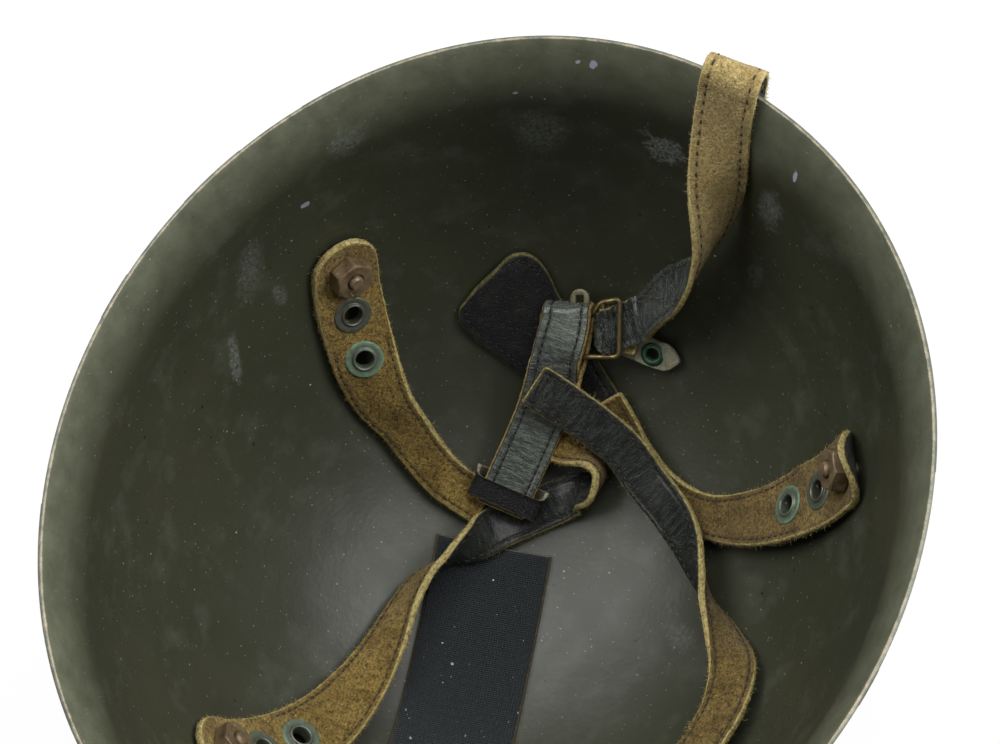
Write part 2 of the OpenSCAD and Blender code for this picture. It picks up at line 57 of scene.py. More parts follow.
def unit(v: np.ndarray) -> np.ndarray:
    """Vectors scaled to length one along their last axis."""
    v = np.asarray(v, float)
    return v / np.maximum(np.linalg.norm(v, axis=-1, keepdims=True), 1e-12)


def fine(rows: Rows, steps: int) -> np.ndarray:
    """Rows joined by a smooth curve through them.

    Args:
        rows: the rows to pass through.
        steps: how many rows to make for each span.

    Returns:
        The denser rows.
    """
    r = np.asarray(rows, float)
    out = []
    last = len(r) - 1
    for i in range(last):
        a, b, c, d = r[max(0, i - 1)], r[i], r[i + 1], r[min(last, i + 2)]
        for t in np.arange(steps) / steps:
            out.append(0.5 * (2 * b + (c - a) * t + (2 * a - 5 * b + 4 * c - d) * t * t
                              + (3 * b - a - 3 * c + d) * t ** 3))
    out.append(r[last])
    return np.array(out)


def tangents(p: np.ndarray) -> np.ndarray:
    """Travel directions along a line of points."""
    return unit(np.vstack([p[1] - p[0], p[2:] - p[:-2], p[-1] - p[-2]]))


def wobble(p: Vector, scale: float) -> float:
    """Smooth noise between about -1 and 1 at a place in millimetres."""
    return noise.noise(p * scale)


@dataclass(frozen=True)
class Bowl:
    """The inner surface of the steel shell, in millimetres."""

    half_w: float = 122.0
    half_l: float = 141.0
    height: float = 160.0
    wall: float = 1.4
    flare: float = 0.06
    flare_h: float = 26.0
    bow: float = 2.2

    @property
    def depth(self) -> float:
        """Depth of the bowl's curve, which would close above the flare."""
        return self.height * 0.9125

    def z(self, x: np.ndarray, y: np.ndarray) -> np.ndarray:
        """Height of the inner surface at plan places."""
        r = np.minimum(0.995, np.hypot(x / self.half_w, y / self.half_l) / (1 - self.flare))
        return self.wall + self.depth * (1 - (1 - r ** self.bow) ** (1 / self.bow))

    def normal(self, x: np.ndarray, y: np.ndarray) -> np.ndarray:
        """Direction into the hollow at plan places."""
        e = 0.1
        return unit(np.stack([(self.z(x - e, y) - self.z(x + e, y)) / (2 * e),
                              (self.z(x, y - e) - self.z(x, y + e)) / (2 * e), np.ones_like(x)], -1))

    def spot(self, xs: np.ndarray, ys: np.ndarray, lift: np.ndarray) -> np.ndarray:
        """Points given by shares of the half width and half length and a lift off the surface."""
        x, y = np.asarray(xs, float) * self.half_w, np.asarray(ys, float) * self.half_l
        base = np.stack([x, y, self.z(x, y)], -1)
        return base + self.normal(x, y) * np.asarray(lift, float)[..., None]

    def share_at(self, z: float) -> float:
        """Share of the rim outline at a height."""
        k = min(1.0, (z - self.wall) / self.depth)
        lip = max(0.0, (z - self.height + self.flare_h) / self.flare_h)
        return (1 - self.flare) * (1 - (1 - k) ** self.bow) ** (1 / self.bow) + self.flare * lip ** 1.7


BOWL = Bowl()


@dataclass
class Route:
    """Frames along a strap: point, across, normal, width and travel, in millimetres."""

    point: np.ndarray
    across: np.ndarray
    normal: np.ndarray
    width: np.ndarray
    travel: np.ndarray
    per_row: int = 1
    run: np.ndarray = field(init=False)

    def __post_init__(self) -> None:
        """Measures the travelled length at each frame."""
        step = np.linalg.norm(np.diff(self.point, axis=0), axis=1)
        self.run = np.concatenate([[0.0], np.cumsum(step)])

    @property
    def length(self) -> float:
        """Whole length of the route."""
        return float(self.run[-1])

    def row_at(self, row: float) -> float:
        """Travelled length at a row of the table that made the route."""
        return float(np.interp(row * self.per_row, np.arange(len(self.run)), self.run))

    def at(self, s: np.ndarray) -> tuple[np.ndarray, np.ndarray, np.ndarray, np.ndarray]:
        """Frames at lengths, carried straight on beyond both ends.

        Args:
            s: lengths along the route.

        Returns:
            Points, across directions, normals and widths.
        """
        s = np.asarray(s, float)
        c = np.clip(s, 0, self.length)
        pick = [np.stack([np.interp(c, self.run, a[:, k]) for k in range(3)], -1)
                for a in (self.point, self.across, self.normal, self.travel)]
        over = (s - c)[..., None]
        return (pick[0] + unit(pick[3]) * over, unit(pick[1]), unit(pick[2]),
                np.interp(c, self.run, self.width))

    @classmethod
    def on_bowl(cls, rows: Rows, steps: int = 10) -> "Route":
        """A route from rows of share across, share along, lift, turn in degrees and width."""
        q = fine(rows, steps)
        p = BOWL.spot(q[:, 0], q[:, 1], q[:, 2])
        n0 = BOWL.normal(q[:, 0] * BOWL.half_w, q[:, 1] * BOWL.half_l)
        t = tangents(p)
        t[0] = unit(t[0] - (t[0] @ n0[0]) * n0[0])
        a0 = unit(np.cross(t, n0))
        n1 = np.cross(a0, t)
        c, s = np.cos(np.radians(q[:, 3]))[:, None], np.sin(np.radians(q[:, 3]))[:, None]
        return cls(p, a0 * c + n1 * s, n1 * c - a0 * s, q[:, 4], t, steps)

    @classmethod
    def free(cls, rows: Rows, steps: int = 6, soften: int = 0) -> "Route":
        """A route from rows of a point, an across direction and a width, its turns evened over some frames."""
        q = fine(rows, steps)
        t = tangents(q[:, :3])
        h = unit(q[:, 3:6])
        if soften:
            padded = np.vstack([h[:1]] * soften + [h] + [h[-1:]] * soften)
            h = unit(np.mean([padded[k:k + len(h)] for k in range(2 * soften + 1)], axis=0))
        a = unit(h - (h * t).sum(1, keepdims=True) * t)
        return cls(q[:, :3], a, np.cross(a, t), q[:, 6], t, steps)


class Buckle:
    """Axes of the buckle: X along its bars, Y toward the fold, Z off the surface."""

    x = unit([0.94, 0.26, 0.24])
    n = unit(np.cross(x, [-0.35, 0.77, 0.54]))
    y = np.cross(n, x)
    origin = BOWL.spot(np.array(-0.139), np.array(0.701), np.array(10.2))
    wire_d = 1.8
    fold_r = 2.8
    fold_x = -4.8
    fold_w = 17.0
    bar_y = 5.6
    mid_bar = 7.2
    ear_x = -0.8
    low_y = -8.9
    top_y = 10.7
    left_x = -14.7
    right_x = 12.4
    wrap_r = 2.2

    @classmethod
    def at(cls, x: float, y: float, z: float) -> np.ndarray:
        """A point given along the buckle's axes."""
        return cls.origin + cls.x * x + cls.y * y + cls.n * z

    @classmethod
    def row(cls, x: float, y: float, z: float, across: np.ndarray, width: float) -> list[float]:
        """A row of a free route at a point given along the buckle's axes."""
        return [*cls.at(x, y, z), *across, width]


class Tree:
    """Adds and links nodes in a shader tree."""

    def __init__(self, tree: bpy.types.NodeTree) -> None:
        """Keeps the tree."""
        self.tree = tree

    def feed(self, node: bpy.types.Node, inputs: dict[Any, Any]) -> None:
        """Feeds a node's inputs.

        Args:
            node: the node.
            inputs: values or other nodes' outputs by socket name or number.
        """
        for name, value in inputs.items():
            if isinstance(value, Socket):
                self.tree.links.new(value, node.inputs[name])
            else:
                node.inputs[name].default_value = value

    def add(self, kind: str, inputs: dict[Any, Any] | None = None, **props: Any) -> bpy.types.Node:
        """Adds a node.

        Args:
            kind: the node's type name without its ShaderNode start.
            inputs: what feeds it.
            props: the node's own settings.

        Returns:
            The new node.
        """
        node = self.tree.nodes.new("ShaderNode" + kind)
        for name, value in props.items():
            setattr(node, name, value)
        self.feed(node, inputs or {})
        return node

    def math(self, op: str, a: Any, b: Any = 0.0, clamp: bool = False) -> Socket:
        """Output of a Math node."""
        return self.add("Math", {0: a, 1: b}, operation=op, use_clamp=clamp).outputs[0]

    def times(self, a: Any, b: Any, clamp: bool = False) -> Socket:
        """Product of two values."""
        return self.math("MULTIPLY", a, b, clamp)

    def plus(self, a: Any, b: Any, clamp: bool = False) -> Socket:
        """Sum of two values."""
        return self.math("ADD", a, b, clamp)

    def mix(self, fac: Any, a: Any, b: Any) -> Socket:
        """A colour between two colours."""
        return self.add("Mix", {0: fac, 6: a, 7: b}, data_type="RGBA").outputs[2]

    def over(self, colour: Any, mask: Any, weight: Any, tint: Any) -> Socket:
        """A colour with a tint laid over it as far as a mask and a weight say."""
        return self.mix(self.times(mask, weight), colour, tint)

    def spread(self, value: Any, low: float, high: float) -> Socket:
        """A value mapped from a range to 0 to 1 and held inside it."""
        return self.add("MapRange", {0: value, 1: low, 2: high}).outputs[0]

    def noise(self, at: Any, scale: float, detail: float = 3.0, rough: float = 0.55) -> Socket:
        """Height of a noise texture."""
        return self.add("TexNoise", {"Vector": at, "Scale": scale, "Detail": detail, "Roughness": rough}).outputs[0]

    def stretch(self, at: Any, scale: Sequence[float], turn: Sequence[float] = (0, 0, 0)) -> Socket:
        """Coordinates turned and scaled about the origin."""
        return self.add("Mapping", {"Vector": at, "Scale": scale, "Rotation": turn}).outputs[0]

    def group(self, tree: bpy.types.NodeTree, **inputs: Any) -> Any:
        """Outputs of a placed node group with its inputs fed."""
        return self.add("Group", inputs, node_tree=tree).outputs

    def blots(self, at: Any, scale: float, low: float, high: float) -> Socket:
        """Mask of soft blotches between two thresholds."""
        return self.group(FX.mottle, Vector=at, Scale=scale, Low=low, High=high)[0]

    def dots(self, at: Any, scale: float, size: float, share: float) -> Socket:
        """Mask of scattered dots."""
        return self.group(FX.specks, Vector=at, Scale=scale, Size=size, Share=share)[0]

    def wear(self, at: Any, reach: float) -> Socket:
        """Mask of the wear along the piece's edges."""
        return self.group(FX.worn, Vector=at, Margin=self.attribute("margin"), Reach=reach)[0]

    def bump(self, height: Any, depth: float, strength: float = 1.0) -> Socket:
        """A normal from a height, whose full step is depth metres."""
        return self.add("Bump", {"Height": height, "Distance": depth, "Strength": strength}).outputs[0]

    def place(self) -> Socket:
        """Object coordinates, in metres."""
        return self.add("TexCoord").outputs["Object"]

    def flat(self) -> Socket:
        """Places on the flat cut, in millimetres."""
        return self.add("UVMap", uv_map="flat").outputs[0]

    def attribute(self, name: str) -> Socket:
        """A number kept on the mesh."""
        return self.add("Attribute", attribute_name=name).outputs["Fac"]

    def seen(self) -> Socket:
        """Whether the camera sees the place, straight or through something clear."""
        path = self.add("LightPath").outputs
        return self.math("MAXIMUM", path["Is Camera Ray"], path["Is Transmission Ray"])


def srgb(r: float, g: float, b: float) -> tuple[float, float, float, float]:
    """A colour of 0 to 255 steps as linear shares."""
    def lin(c: float) -> float:
        """One channel as a linear share."""
        c /= 255
        return c / 12.92 if c <= 0.04045 else ((c + 0.055) / 1.055) ** 2.4
    return lin(r), lin(g), lin(b), 1.0


def new_group(name: str, takes: str, gives: str) -> tuple[bpy.types.NodeTree, Tree, Any, Any]:
    """A new shader node group, whose sockets are numbers but for Vector.

    Args:
        name: its name.
        takes: names of its inputs, with spaces between them.
        gives: names of its outputs, likewise.

    Returns:
        The group, a Tree on it, its input node's outputs and its output node's inputs.
    """
    tree = bpy.data.node_groups.new(name, "ShaderNodeTree")
    for way, labels in (("INPUT", takes), ("OUTPUT", gives)):
        for label in labels.split():
            kind = "NodeSocketVector" if label == "Vector" else "NodeSocketFloat"
            tree.interface.new_socket(label, in_out=way, socket_type=kind)
    start, end = tree.nodes.new("NodeGroupInput"), tree.nodes.new("NodeGroupOutput")
    return tree, Tree(tree), start.outputs, end.inputs


class Effects:
    """The shared node groups, built once."""

    def __init__(self) -> None:
        """Builds every group."""
        self.specks = self.build_specks()
        self.mottle = self.build_mottle()
        self.hide = self.build_hide()
        self.nap = self.build_nap()
        self.worn = self.build_worn()

    @staticmethod
    def build_specks() -> bpy.types.NodeTree:
        """Scattered small dots of uneven size."""
        tree, t, i, o = new_group("specks", "Vector Scale Size Share", "Mask")
        cell = t.add("TexVoronoi", {"Vector": i["Vector"], "Scale": i["Scale"]}, feature="F1").outputs
        pick = t.add("SeparateColor", {0: cell["Color"]}).outputs
        near = t.math("LESS_THAN", cell["Distance"], t.times(i["Size"], pick[1]))
        keep = t.math("LESS_THAN", pick[0], i["Share"])
        tree.links.new(t.times(near, keep), o["Mask"])
        return tree

    @staticmethod
    def build_mottle() -> bpy.types.NodeTree:
        """Soft blotches between two thresholds."""
        tree, t, i, o = new_group("mottle", "Vector Scale Low High", "Mask")
        tree.links.new(t.spread(t.noise(i["Vector"], i["Scale"], 4.0, 0.62), i["Low"], i["High"]), o["Mask"])
        return tree

    @staticmethod
    def build_hide() -> bpy.types.NodeTree:
        """Pebbled hide grain with fine cracks."""
        tree, t, i, o = new_group("hide_grain", "Vector Scale", "Height Crack")
        shift = t.add("TexNoise", {"Vector": i["Vector"], "Scale": 380.0, "Detail": 2.0}).outputs["Color"]
        moved = t.add("Mix", {0: 0.0012, 4: i["Vector"], 5: shift}, data_type="VECTOR").outputs[1]
        cell = t.add("TexVoronoi", {"Vector": moved, "Scale": i["Scale"]}, feature="DISTANCE_TO_EDGE")
        edge = t.spread(cell.outputs["Distance"], 0.0, 0.16)
        tree.links.new(t.plus(edge, t.times(t.noise(i["Vector"], 3200.0, 2.0, 0.5), 0.5)), o["Height"])
        tree.links.new(t.math("SUBTRACT", 1.0, edge), o["Crack"])
        return tree

    @staticmethod
    def build_nap() -> bpy.types.NodeTree:
        """Short tangled fibres of a suede face."""
        tree, t, i, o = new_group("suede_nap", "Vector", "Height Shade Tuft")
        at = i["Vector"]
        long = t.noise(t.stretch(at, (1.0, 0.45, 1.0), (0.4, 0.2, 0.7)), 1500.0, 4.0, 0.7)
        short = t.noise(at, 520.0, 3.0, 0.6)
        dust = t.noise(at, 1300.0, 2.0, 0.7)
        tree.links.new(t.plus(long, t.times(short, 0.8)), o["Height"])
        shade = t.plus(t.times(long, 0.35), t.plus(t.times(short, 0.25), t.times(dust, 0.4)))
        tree.links.new(t.spread(shade, 0.4, 0.6), o["Shade"])
        tree.links.new(t.spread(t.noise(at, 120.0, 2.0, 0.5), 0.35, 0.7), o["Tuft"])
        return tree

    @staticmethod
    def build_worn() -> bpy.types.NodeTree:
        """Wear that follows an edge and frays inward."""
        tree, t, i, o = new_group("edge_wear", "Vector Margin Reach", "Mask")
        reach = t.times(i["Reach"], t.times(t.noise(i["Vector"], 420.0, 3.0, 0.5), 2.0))
        mask = t.add("MapRange", {0: i["Margin"], 1: 0.0, 2: reach, 3: 1.0, 4: 0.0}).outputs[0]
        tree.links.new(mask, o["Mask"])
        return tree


FX = Effects()
MADE: dict[str, bpy.types.Material] = {}


def surface(name: str) -> tuple[bpy.types.Material, Tree, bpy.types.Node, bpy.types.Node]:
    """A fresh material.

    Args:
        name: its name.

    Returns:
        The material, a Tree on it, its Principled shader and its output node.
    """
    mat = bpy.data.materials.new(name)
    mat.use_nodes = True
    mat.node_tree.nodes.clear()
    t = Tree(mat.node_tree)
    shader = t.add("BsdfPrincipled")
    out = t.add("OutputMaterial", {"Surface": shader.outputs[0]})
    return mat, t, shader, out


@dataclass(frozen=True)
class Finish:
    """A finish that builds its material the first time it is asked for."""

    name: str

    def material(self) -> bpy.types.Material:
        """The finished material."""
        if self.name not in MADE:
            MADE[self.name], t, shader, _ = surface(self.name)
            t.feed(shader, self.looks(t, t.place()))
        return MADE[self.name]

    def looks(self, t: Tree, at: Socket) -> dict[str, Any]:
        """What feeds the shader.

        Args:
            t: the material's tree.
            at: object coordinates.

        Returns:
            Values or outputs by the shader's input names.
        """
        raise NotImplementedError


@dataclass(frozen=True)
class Suede(Finish):
    """Rough split side of the leather."""

    base: Colour
    dark: Colour
    light: Colour

    def looks(self, t: Tree, at: Socket) -> dict[str, Any]:
        """Tangled fibres, darker tufts, paler worn edges, stitches, and the stitch groove darkened as painted shade."""
        nap = t.group(FX.nap, Vector=at)
        colour = t.mix(nap["Shade"], self.dark, self.base)
        colour = t.over(colour, t.times(nap["Tuft"], nap["Shade"]), 0.55, self.light)
        colour = t.over(colour, t.blots(at, 60.0, 0.5, 0.8), 0.5, self.dark)
        colour = t.over(colour, t.dots(at, 900.0, 0.34, 0.14), 0.6, self.light)
        colour = t.over(colour, t.wear(at, 0.9), 0.7, self.light)
        # painted shade: the suede darkens along the pressed stitch groove
        colour = t.over(colour, t.attribute("press"), 0.6, self.dark)
        return {"Base Color": colour, "Roughness": 0.92, "Specular IOR Level": 0.15, "Sheen Weight": 0.08,
                "Sheen Roughness": 0.5, "Normal": t.bump(nap["Height"], 0.0009)}


@dataclass(frozen=True)
class Grain(Finish):
    """Dyed black grain side of the leather."""

    # crest colour: the painted highlight laid on wrinkle crests, standing in for the sheen of the glossy grain
    base: Colour
    crest_highlight: Colour
    shine: float
    worn: Colour = srgb(92, 88, 72)
    crease: float = 1.0
    gloss: float = 0.3

    def looks(self, t: Tree, at: Socket) -> dict[str, Any]:
        """Pebbled grain, cross wrinkles, wrinkle crests and set places lightened as a painted highlight, the stitch
        groove darkened as painted shade, and a soft shine.
        """
        flat = t.flat()
        hide = t.group(FX.hide, Vector=at, Scale=1150.0)["Height"]
        cross = t.noise(t.stretch(flat, (0.09, 0.62, 1.0)), 1.0, 4.0, 0.62)
        fold = t.noise(t.stretch(flat, (0.34, 2.0, 1.0), (0, 0, 0.12)), 1.0, 3.0, 0.62)
        wrinkle = t.plus(t.times(cross, 0.8), t.times(fold, 0.9))
        height = t.plus(t.times(hide, 0.3), t.times(wrinkle, 1.6 * self.crease))
        colour = t.over(self.base, t.blots(at, 160.0, 0.5, 0.78), 0.22, self.worn)
        painted_highlight = t.attribute("painted_highlight")
        # painted highlight: the grain is lightened toward the crest colour where the strap's painted highlight places
        # say, standing in for the sheen of the light
        colour = t.over(colour, painted_highlight, 0.5, self.crest_highlight)
        # painted highlight: wrinkle crests lightened toward the crest colour, standing in for the sheen of the glossy
        # grain
        crest_highlight = t.spread(t.plus(wrinkle, t.times(hide, 0.12)), 0.9, 1.1)
        colour = t.over(colour, crest_highlight, t.plus(0.32 * self.crease, t.times(painted_highlight, 0.65)), self.crest_highlight)
        # painted shade: the grain darkens along the pressed stitch groove
        colour = t.over(colour, t.attribute("press"), 0.8, srgb(6, 7, 7))
        colour = t.over(colour, t.wear(at, 0.45), 0.75, srgb(120, 98, 58))
        colour = t.over(colour, t.dots(at, 420.0, 0.16, 0.2), 0.5, srgb(120, 118, 105))
        return {"Base Color": colour, "Roughness": t.plus(self.shine, t.times(t.noise(at, 700.0), 0.18)),
                "Specular IOR Level": 0.35 + 0.5 * self.gloss, "Coat Weight": self.gloss, "Coat Roughness": 0.24,
                "Normal": t.bump(height, 0.0009)}


@dataclass(frozen=True)
class CutEdge(Finish):
    """Raw cut side of the leather: pale fibres between suede and the dyed grain."""

    base: Colour
    dark: Colour
    dyed: Colour = srgb(44, 44, 38)
    grain_side: float = 1.0

    def looks(self, t: Tree, at: Socket) -> dict[str, Any]:
        """Layered fibres with a dark line on the grain side."""
        depth = t.times(t.attribute("depth"), self.grain_side)
        nap = t.group(FX.nap, Vector=at)
        sheets = t.add("CombineXYZ", {0: t.times(depth, 2.2), 1: t.noise(at, 260.0)}).outputs[0]
        fibre = t.plus(t.times(nap["Shade"], 0.5), t.times(t.noise(sheets, 2.6, 3.0), 0.5))
        colour = t.mix(t.spread(fibre, 0.3, 0.62), self.dark, self.base)
        colour = t.mix(t.spread(t.plus(depth, t.times(t.noise(at, 900.0), 0.3)), 0.8, 1.02), colour, self.dyed)
        colour = t.over(colour, t.blots(at, 210.0, 0.55, 0.72), 0.35, self.dark)
        return {"Base Color": colour, "Roughness": 0.88, "Specular IOR Level": 0.25,
                "Normal": t.bump(nap["Height"], 0.0004, 0.9)}


@dataclass(frozen=True)
class PaleLeather(Finish):
    """Grey-beige leather of the pointed tab."""

    base: Colour = srgb(158, 154, 132)
    dark: Colour = srgb(84, 78, 58)
    green: Colour = srgb(76, 112, 90)

    def looks(self, t: Tree, at: Socket) -> dict[str, Any]:
        """Fine cracks, soil in them and a green stain round the eyelet."""
        hide = t.group(FX.hide, Vector=at, Scale=900.0)
        colour = t.over(self.base, t.blots(at, 240.0, 0.42, 0.7), 0.6, self.dark)
        colour = t.over(colour, hide["Crack"], 0.35, self.dark)
        colour = t.over(colour, t.attribute("stain"), 0.8, self.green)
        return {"Base Color": colour, "Roughness": 0.7, "Normal": t.bump(hide["Height"], 0.00015, 0.7)}


@dataclass(frozen=True)
class Mark:
    """One mark in the paint: its middle in millimetres, its half sizes, its strength, softness and turn."""

    at: tuple[float, float, float]
    size: tuple[float, float, float]
    weight: float
    sharp: float
    turn: tuple[float, float, float] = (0, 0, 0)


@dataclass(frozen=True)
class ShellPaint(Finish):
    """Dark olive paint on steel, rubbed, specked and worn to the metal at the rim, with the flared band below the rim
    lightened as a painted sheen.
    """

    rubs: tuple[Mark, ...]
    chips: tuple[Mark, ...]
    base: Colour = srgb(44, 47, 34)
    warm: Colour = srgb(52, 53, 39)
    dust: Colour = srgb(146, 150, 142)

    @staticmethod
    def mask(t: Tree, at: Any, mark: Mark) -> Socket:
        """A torn oval patch round a mark's middle."""
        spot = t.add("VectorMath", {0: at, 1: tuple(-v * MM for v in mark.at)}, operation="ADD").outputs[0]
        spot = t.stretch(t.stretch(spot, (1, 1, 1), mark.turn), tuple(1 / (v * MM) for v in mark.size))
        far = t.add("VectorMath", {0: spot}, operation="LENGTH").outputs["Value"]
        torn = t.times(t.noise(at, 330.0, 5.0, 0.72), 1.5)
        edge = t.plus(far, t.math("SUBTRACT", torn, 0.55))
        return t.times(t.spread(edge, 0.7 + mark.sharp, 0.7), mark.weight)

    def looks(self, t: Tree, at: Socket) -> dict[str, Any]:
        """Half matt paint with a fine orange peel."""
        height = t.add("SeparateXYZ", {0: at}).outputs[2]
        colour = t.mix(t.blots(at, 16.0, 0.35, 0.7), self.base, self.warm)
        colour = t.over(colour, t.blots(at, 75.0, 0.52, 0.9), 0.12, self.dust)
        for dots, weight in (((480.0, 0.17, 0.1), 0.5), ((200.0, 0.075, 0.12), 0.75), ((1100.0, 0.3, 0.08), 0.4)):
            colour = t.over(colour, t.dots(at, *dots), weight, self.dust)
        colour = t.mix(t.dots(at, 260.0, 0.16, 0.1), colour, srgb(24, 24, 18))
        # painted sheen: the flared band below the rim is lightened and mottled like rubbed paint, standing in for the
        # light it catches
        flare = t.spread(t.plus(height, t.times(t.noise(at, 40.0, 3.0), 0.006)), 0.14, 0.16)
        rim_band_sheen = t.plus(0.27, t.times(t.blots(at, 120.0, 0.3, 0.75), 0.35))
        colour = t.over(colour, flare, rim_band_sheen, srgb(112, 116, 96))
        inner = t.attribute("inner")
        rub = reduce(lambda a, b: t.math("MAXIMUM", a, b), [self.mask(t, at, mark) for mark in self.rubs])
        rub = t.times(t.times(rub, t.spread(t.noise(at, 900.0, 5.0, 0.75), 0.38, 0.66)), inner)
        colour = t.mix(rub, colour, srgb(150, 156, 152))
        for mark in self.chips:
            colour = t.over(colour, self.mask(t, at, mark), inner, srgb(150, 158, 172))
        edge = t.plus(height, t.times(t.noise(at, 240.0, 5.0, 0.7), 0.0016))
        colour = t.over(colour, t.spread(edge, 0.1604, 0.1609), 0.8, srgb(160, 146, 124))
        rough = t.plus(t.plus(0.33, t.times(t.noise(at, 55.0, 4.0), 0.2)), t.times(rub, 0.2))
        peel = t.plus(t.noise(at, 620.0, 2.0), t.times(t.noise(at, 170.0, 2.0), 0.8))
        return {"Base Color": colour, "Roughness": rough, "Specular IOR Level": 0.5,
                "Normal": t.bump(peel, 0.00014, 0.5)}


@dataclass(frozen=True)
class Metal(Finish):
    """Aged metal with grime and, on some pieces, green tarnish."""

    base: Colour
    dark: Colour
    green: Colour = ()
    rough: float = 0.38
    metallic: float = 0.85
    grime: float = 0.5

    def looks(self, t: Tree, at: Socket) -> dict[str, Any]:
        """Blotched metal, with tarnish where the mesh says so."""
        blot = t.blots(at, 420.0, 0.42, 0.68)
        colour = t.over(self.base, blot, self.grime, self.dark)
        metallic: Any = self.metallic
        rough = t.plus(self.rough, t.times(blot, 0.22))
        if self.green:
            crust = t.plus(0.35, t.times(t.blots(at, 520.0, 0.34, 0.6), 0.65))
            cover = t.times(t.attribute("green"), crust, clamp=True)
            colour = t.mix(cover, colour, self.green)
            metallic = t.times(self.metallic, t.math("SUBTRACT", 1.0, cover))
            rough = t.plus(rough, t.times(cover, 0.3), clamp=True)
        scratch = t.noise(t.stretch(at, (1.0, 0.15, 1.0), (0.3, 0.5, 0.9)), 2600.0, 2.0)
        height = t.plus(t.noise(at, 1300.0, 3.0), t.times(scratch, 0.4))
        return {"Base Color": colour, "Metallic": metallic, "Roughness": rough, "Normal": t.bump(height, 0.00008, 0.6)}


@dataclass(frozen=True)
class Lacquer(Finish):
    """Brown lacquer over steel, chipped at the corners."""

    base: Colour = srgb(116, 98, 72)
    dark: Colour = srgb(66, 52, 36)

    def looks(self, t: Tree, at: Socket) -> dict[str, Any]:
        """Half gloss lacquer with chips and dust."""
        colour = t.mix(t.blots(at, 260.0, 0.38, 0.72), self.base, self.dark)
        colour = t.over(colour, t.dots(at, 620.0, 0.3, 0.16), 0.7, srgb(150, 138, 124))
        return {"Base Color": colour, "Metallic": 0.25, "Roughness": t.plus(0.34, t.times(t.noise(at, 500.0), 0.25)),
                "Normal": t.bump(t.noise(at, 900.0), 0.00012, 0.6)}


@dataclass(frozen=True)
class Webbing(Finish):
    """Blue-black woven webbing with pale lint."""

    base: Colour = srgb(50, 58, 61)
    dark: Colour = srgb(12, 15, 18)

    def looks(self, t: Tree, at: Socket) -> dict[str, Any]:
        """Cross threads over the modelled ribs, with the valleys between the ribs darkened as painted shade."""
        ply = {"Vector": t.flat(), "Scale": 0.42, "Distortion": 1.2, "Detail": 2.0, "Detail Scale": 1.5}
        weft = t.add("TexWave", ply, wave_type="BANDS", bands_direction="Y").outputs["Fac"]
        fuzz = t.noise(at, 2400.0, 3.0)
        colour = t.mix(t.spread(t.times(weft, fuzz), 0.1, 0.55), self.dark, self.base)
        # painted shade: the valleys between the ribs darken the webbing
        colour = t.over(colour, t.attribute("press"), 0.75, self.dark)
        colour = t.over(colour, t.dots(at, 330.0, 0.17, 0.13), 0.8, srgb(170, 178, 176))
        colour = t.over(colour, t.dots(at, 900.0, 0.24, 0.06), 0.6, srgb(140, 148, 148))
        return {"Base Color": colour, "Roughness": 0.85, "Specular IOR Level": 0.25, "Sheen Weight": 0.15,
                "Normal": t.bump(t.plus(weft, fuzz), 0.00025, 0.8)}


@dataclass(frozen=True)
class Cloth(Finish):
    """Brown backing cloth."""

    base: Colour = srgb(86, 76, 50)
    dark: Colour = srgb(50, 42, 26)

    def looks(self, t: Tree, at: Socket) -> dict[str, Any]:
        """A plain coarse weave."""
        ply = {"Vector": at, "Scale": 330.0}
        weave = t.times(*(t.add("TexWave", ply, bands_direction=way).outputs["Fac"] for way in "XY"))
        colour = t.over(self.base, t.plus(weave, t.blots(at, 180.0, 0.4, 0.7)), 0.5, self.dark)
        return {"Base Color": colour, "Roughness": 0.9, "Normal": t.bump(weave, 0.0002, 0.7)}


@dataclass(frozen=True)
class Thread(Finish):
    """Waxed sewing thread."""

    base: Colour
    light: Colour

    def looks(self, t: Tree, at: Socket) -> dict[str, Any]:
        """Twisted strands."""
        ply = t.noise(at, 2600.0, 3.0)
        return {"Base Color": t.mix(t.spread(ply, 0.4, 0.7), self.base, self.light), "Roughness": 0.75,
                "Normal": t.bump(ply, 0.0001, 0.7)}


SUEDE = Suede("olive_suede", srgb(130, 106, 52), srgb(62, 48, 20), srgb(188, 162, 92))
DARK_SUEDE = Suede("dark_olive_suede", srgb(108, 87, 42), srgb(50, 39, 16), srgb(166, 142, 80))
CHIN_SUEDE = Suede("grey_suede", srgb(168, 148, 96), srgb(112, 94, 54), srgb(204, 186, 134))
BACK_SUEDE = Suede("brown_suede", srgb(120, 92, 54), srgb(64, 46, 26), srgb(160, 130, 80))
KEEPER_SUEDE = Suede("keeper_dark_suede", srgb(56, 49, 37), srgb(26, 22, 16), srgb(84, 76, 60))
# each grain's second colour is the painted highlight on its wrinkle crests
GRAIN = Grain("black_grain", srgb(17, 21, 19), srgb(104, 112, 103), 0.3)
GLOSS_GRAIN = Grain("glossy_black_grain", srgb(20, 25, 23), srgb(146, 156, 144), 0.24, gloss=0.65)
SMOOTH_GRAIN = Grain("smooth_black_grain", srgb(12, 13, 14), srgb(20, 21, 20), 0.5, srgb(30, 30, 27), 0.2, 0.0)
PAD_GRAIN = Grain("pad_black_grain", srgb(14, 17, 18), srgb(50, 54, 52), 0.46, crease=0.25, gloss=0.15)
LEG_EDGE = CutEdge("leg_cut_edge", srgb(172, 158, 106), srgb(112, 98, 56), grain_side=-1.0)
STRAP_EDGE = CutEdge("strap_cut_edge", srgb(176, 154, 98), srgb(110, 92, 50))
LIP_EDGE = CutEdge("keeper_cut_edge", srgb(146, 144, 122), srgb(84, 82, 66))
PAD_EDGE = CutEdge("pad_cut_edge", srgb(122, 118, 76), srgb(70, 66, 40))
PALE = PaleLeather("pale_tab_leather")
THREAD = Thread("dark_thread", srgb(26, 22, 15), srgb(62, 54, 38))
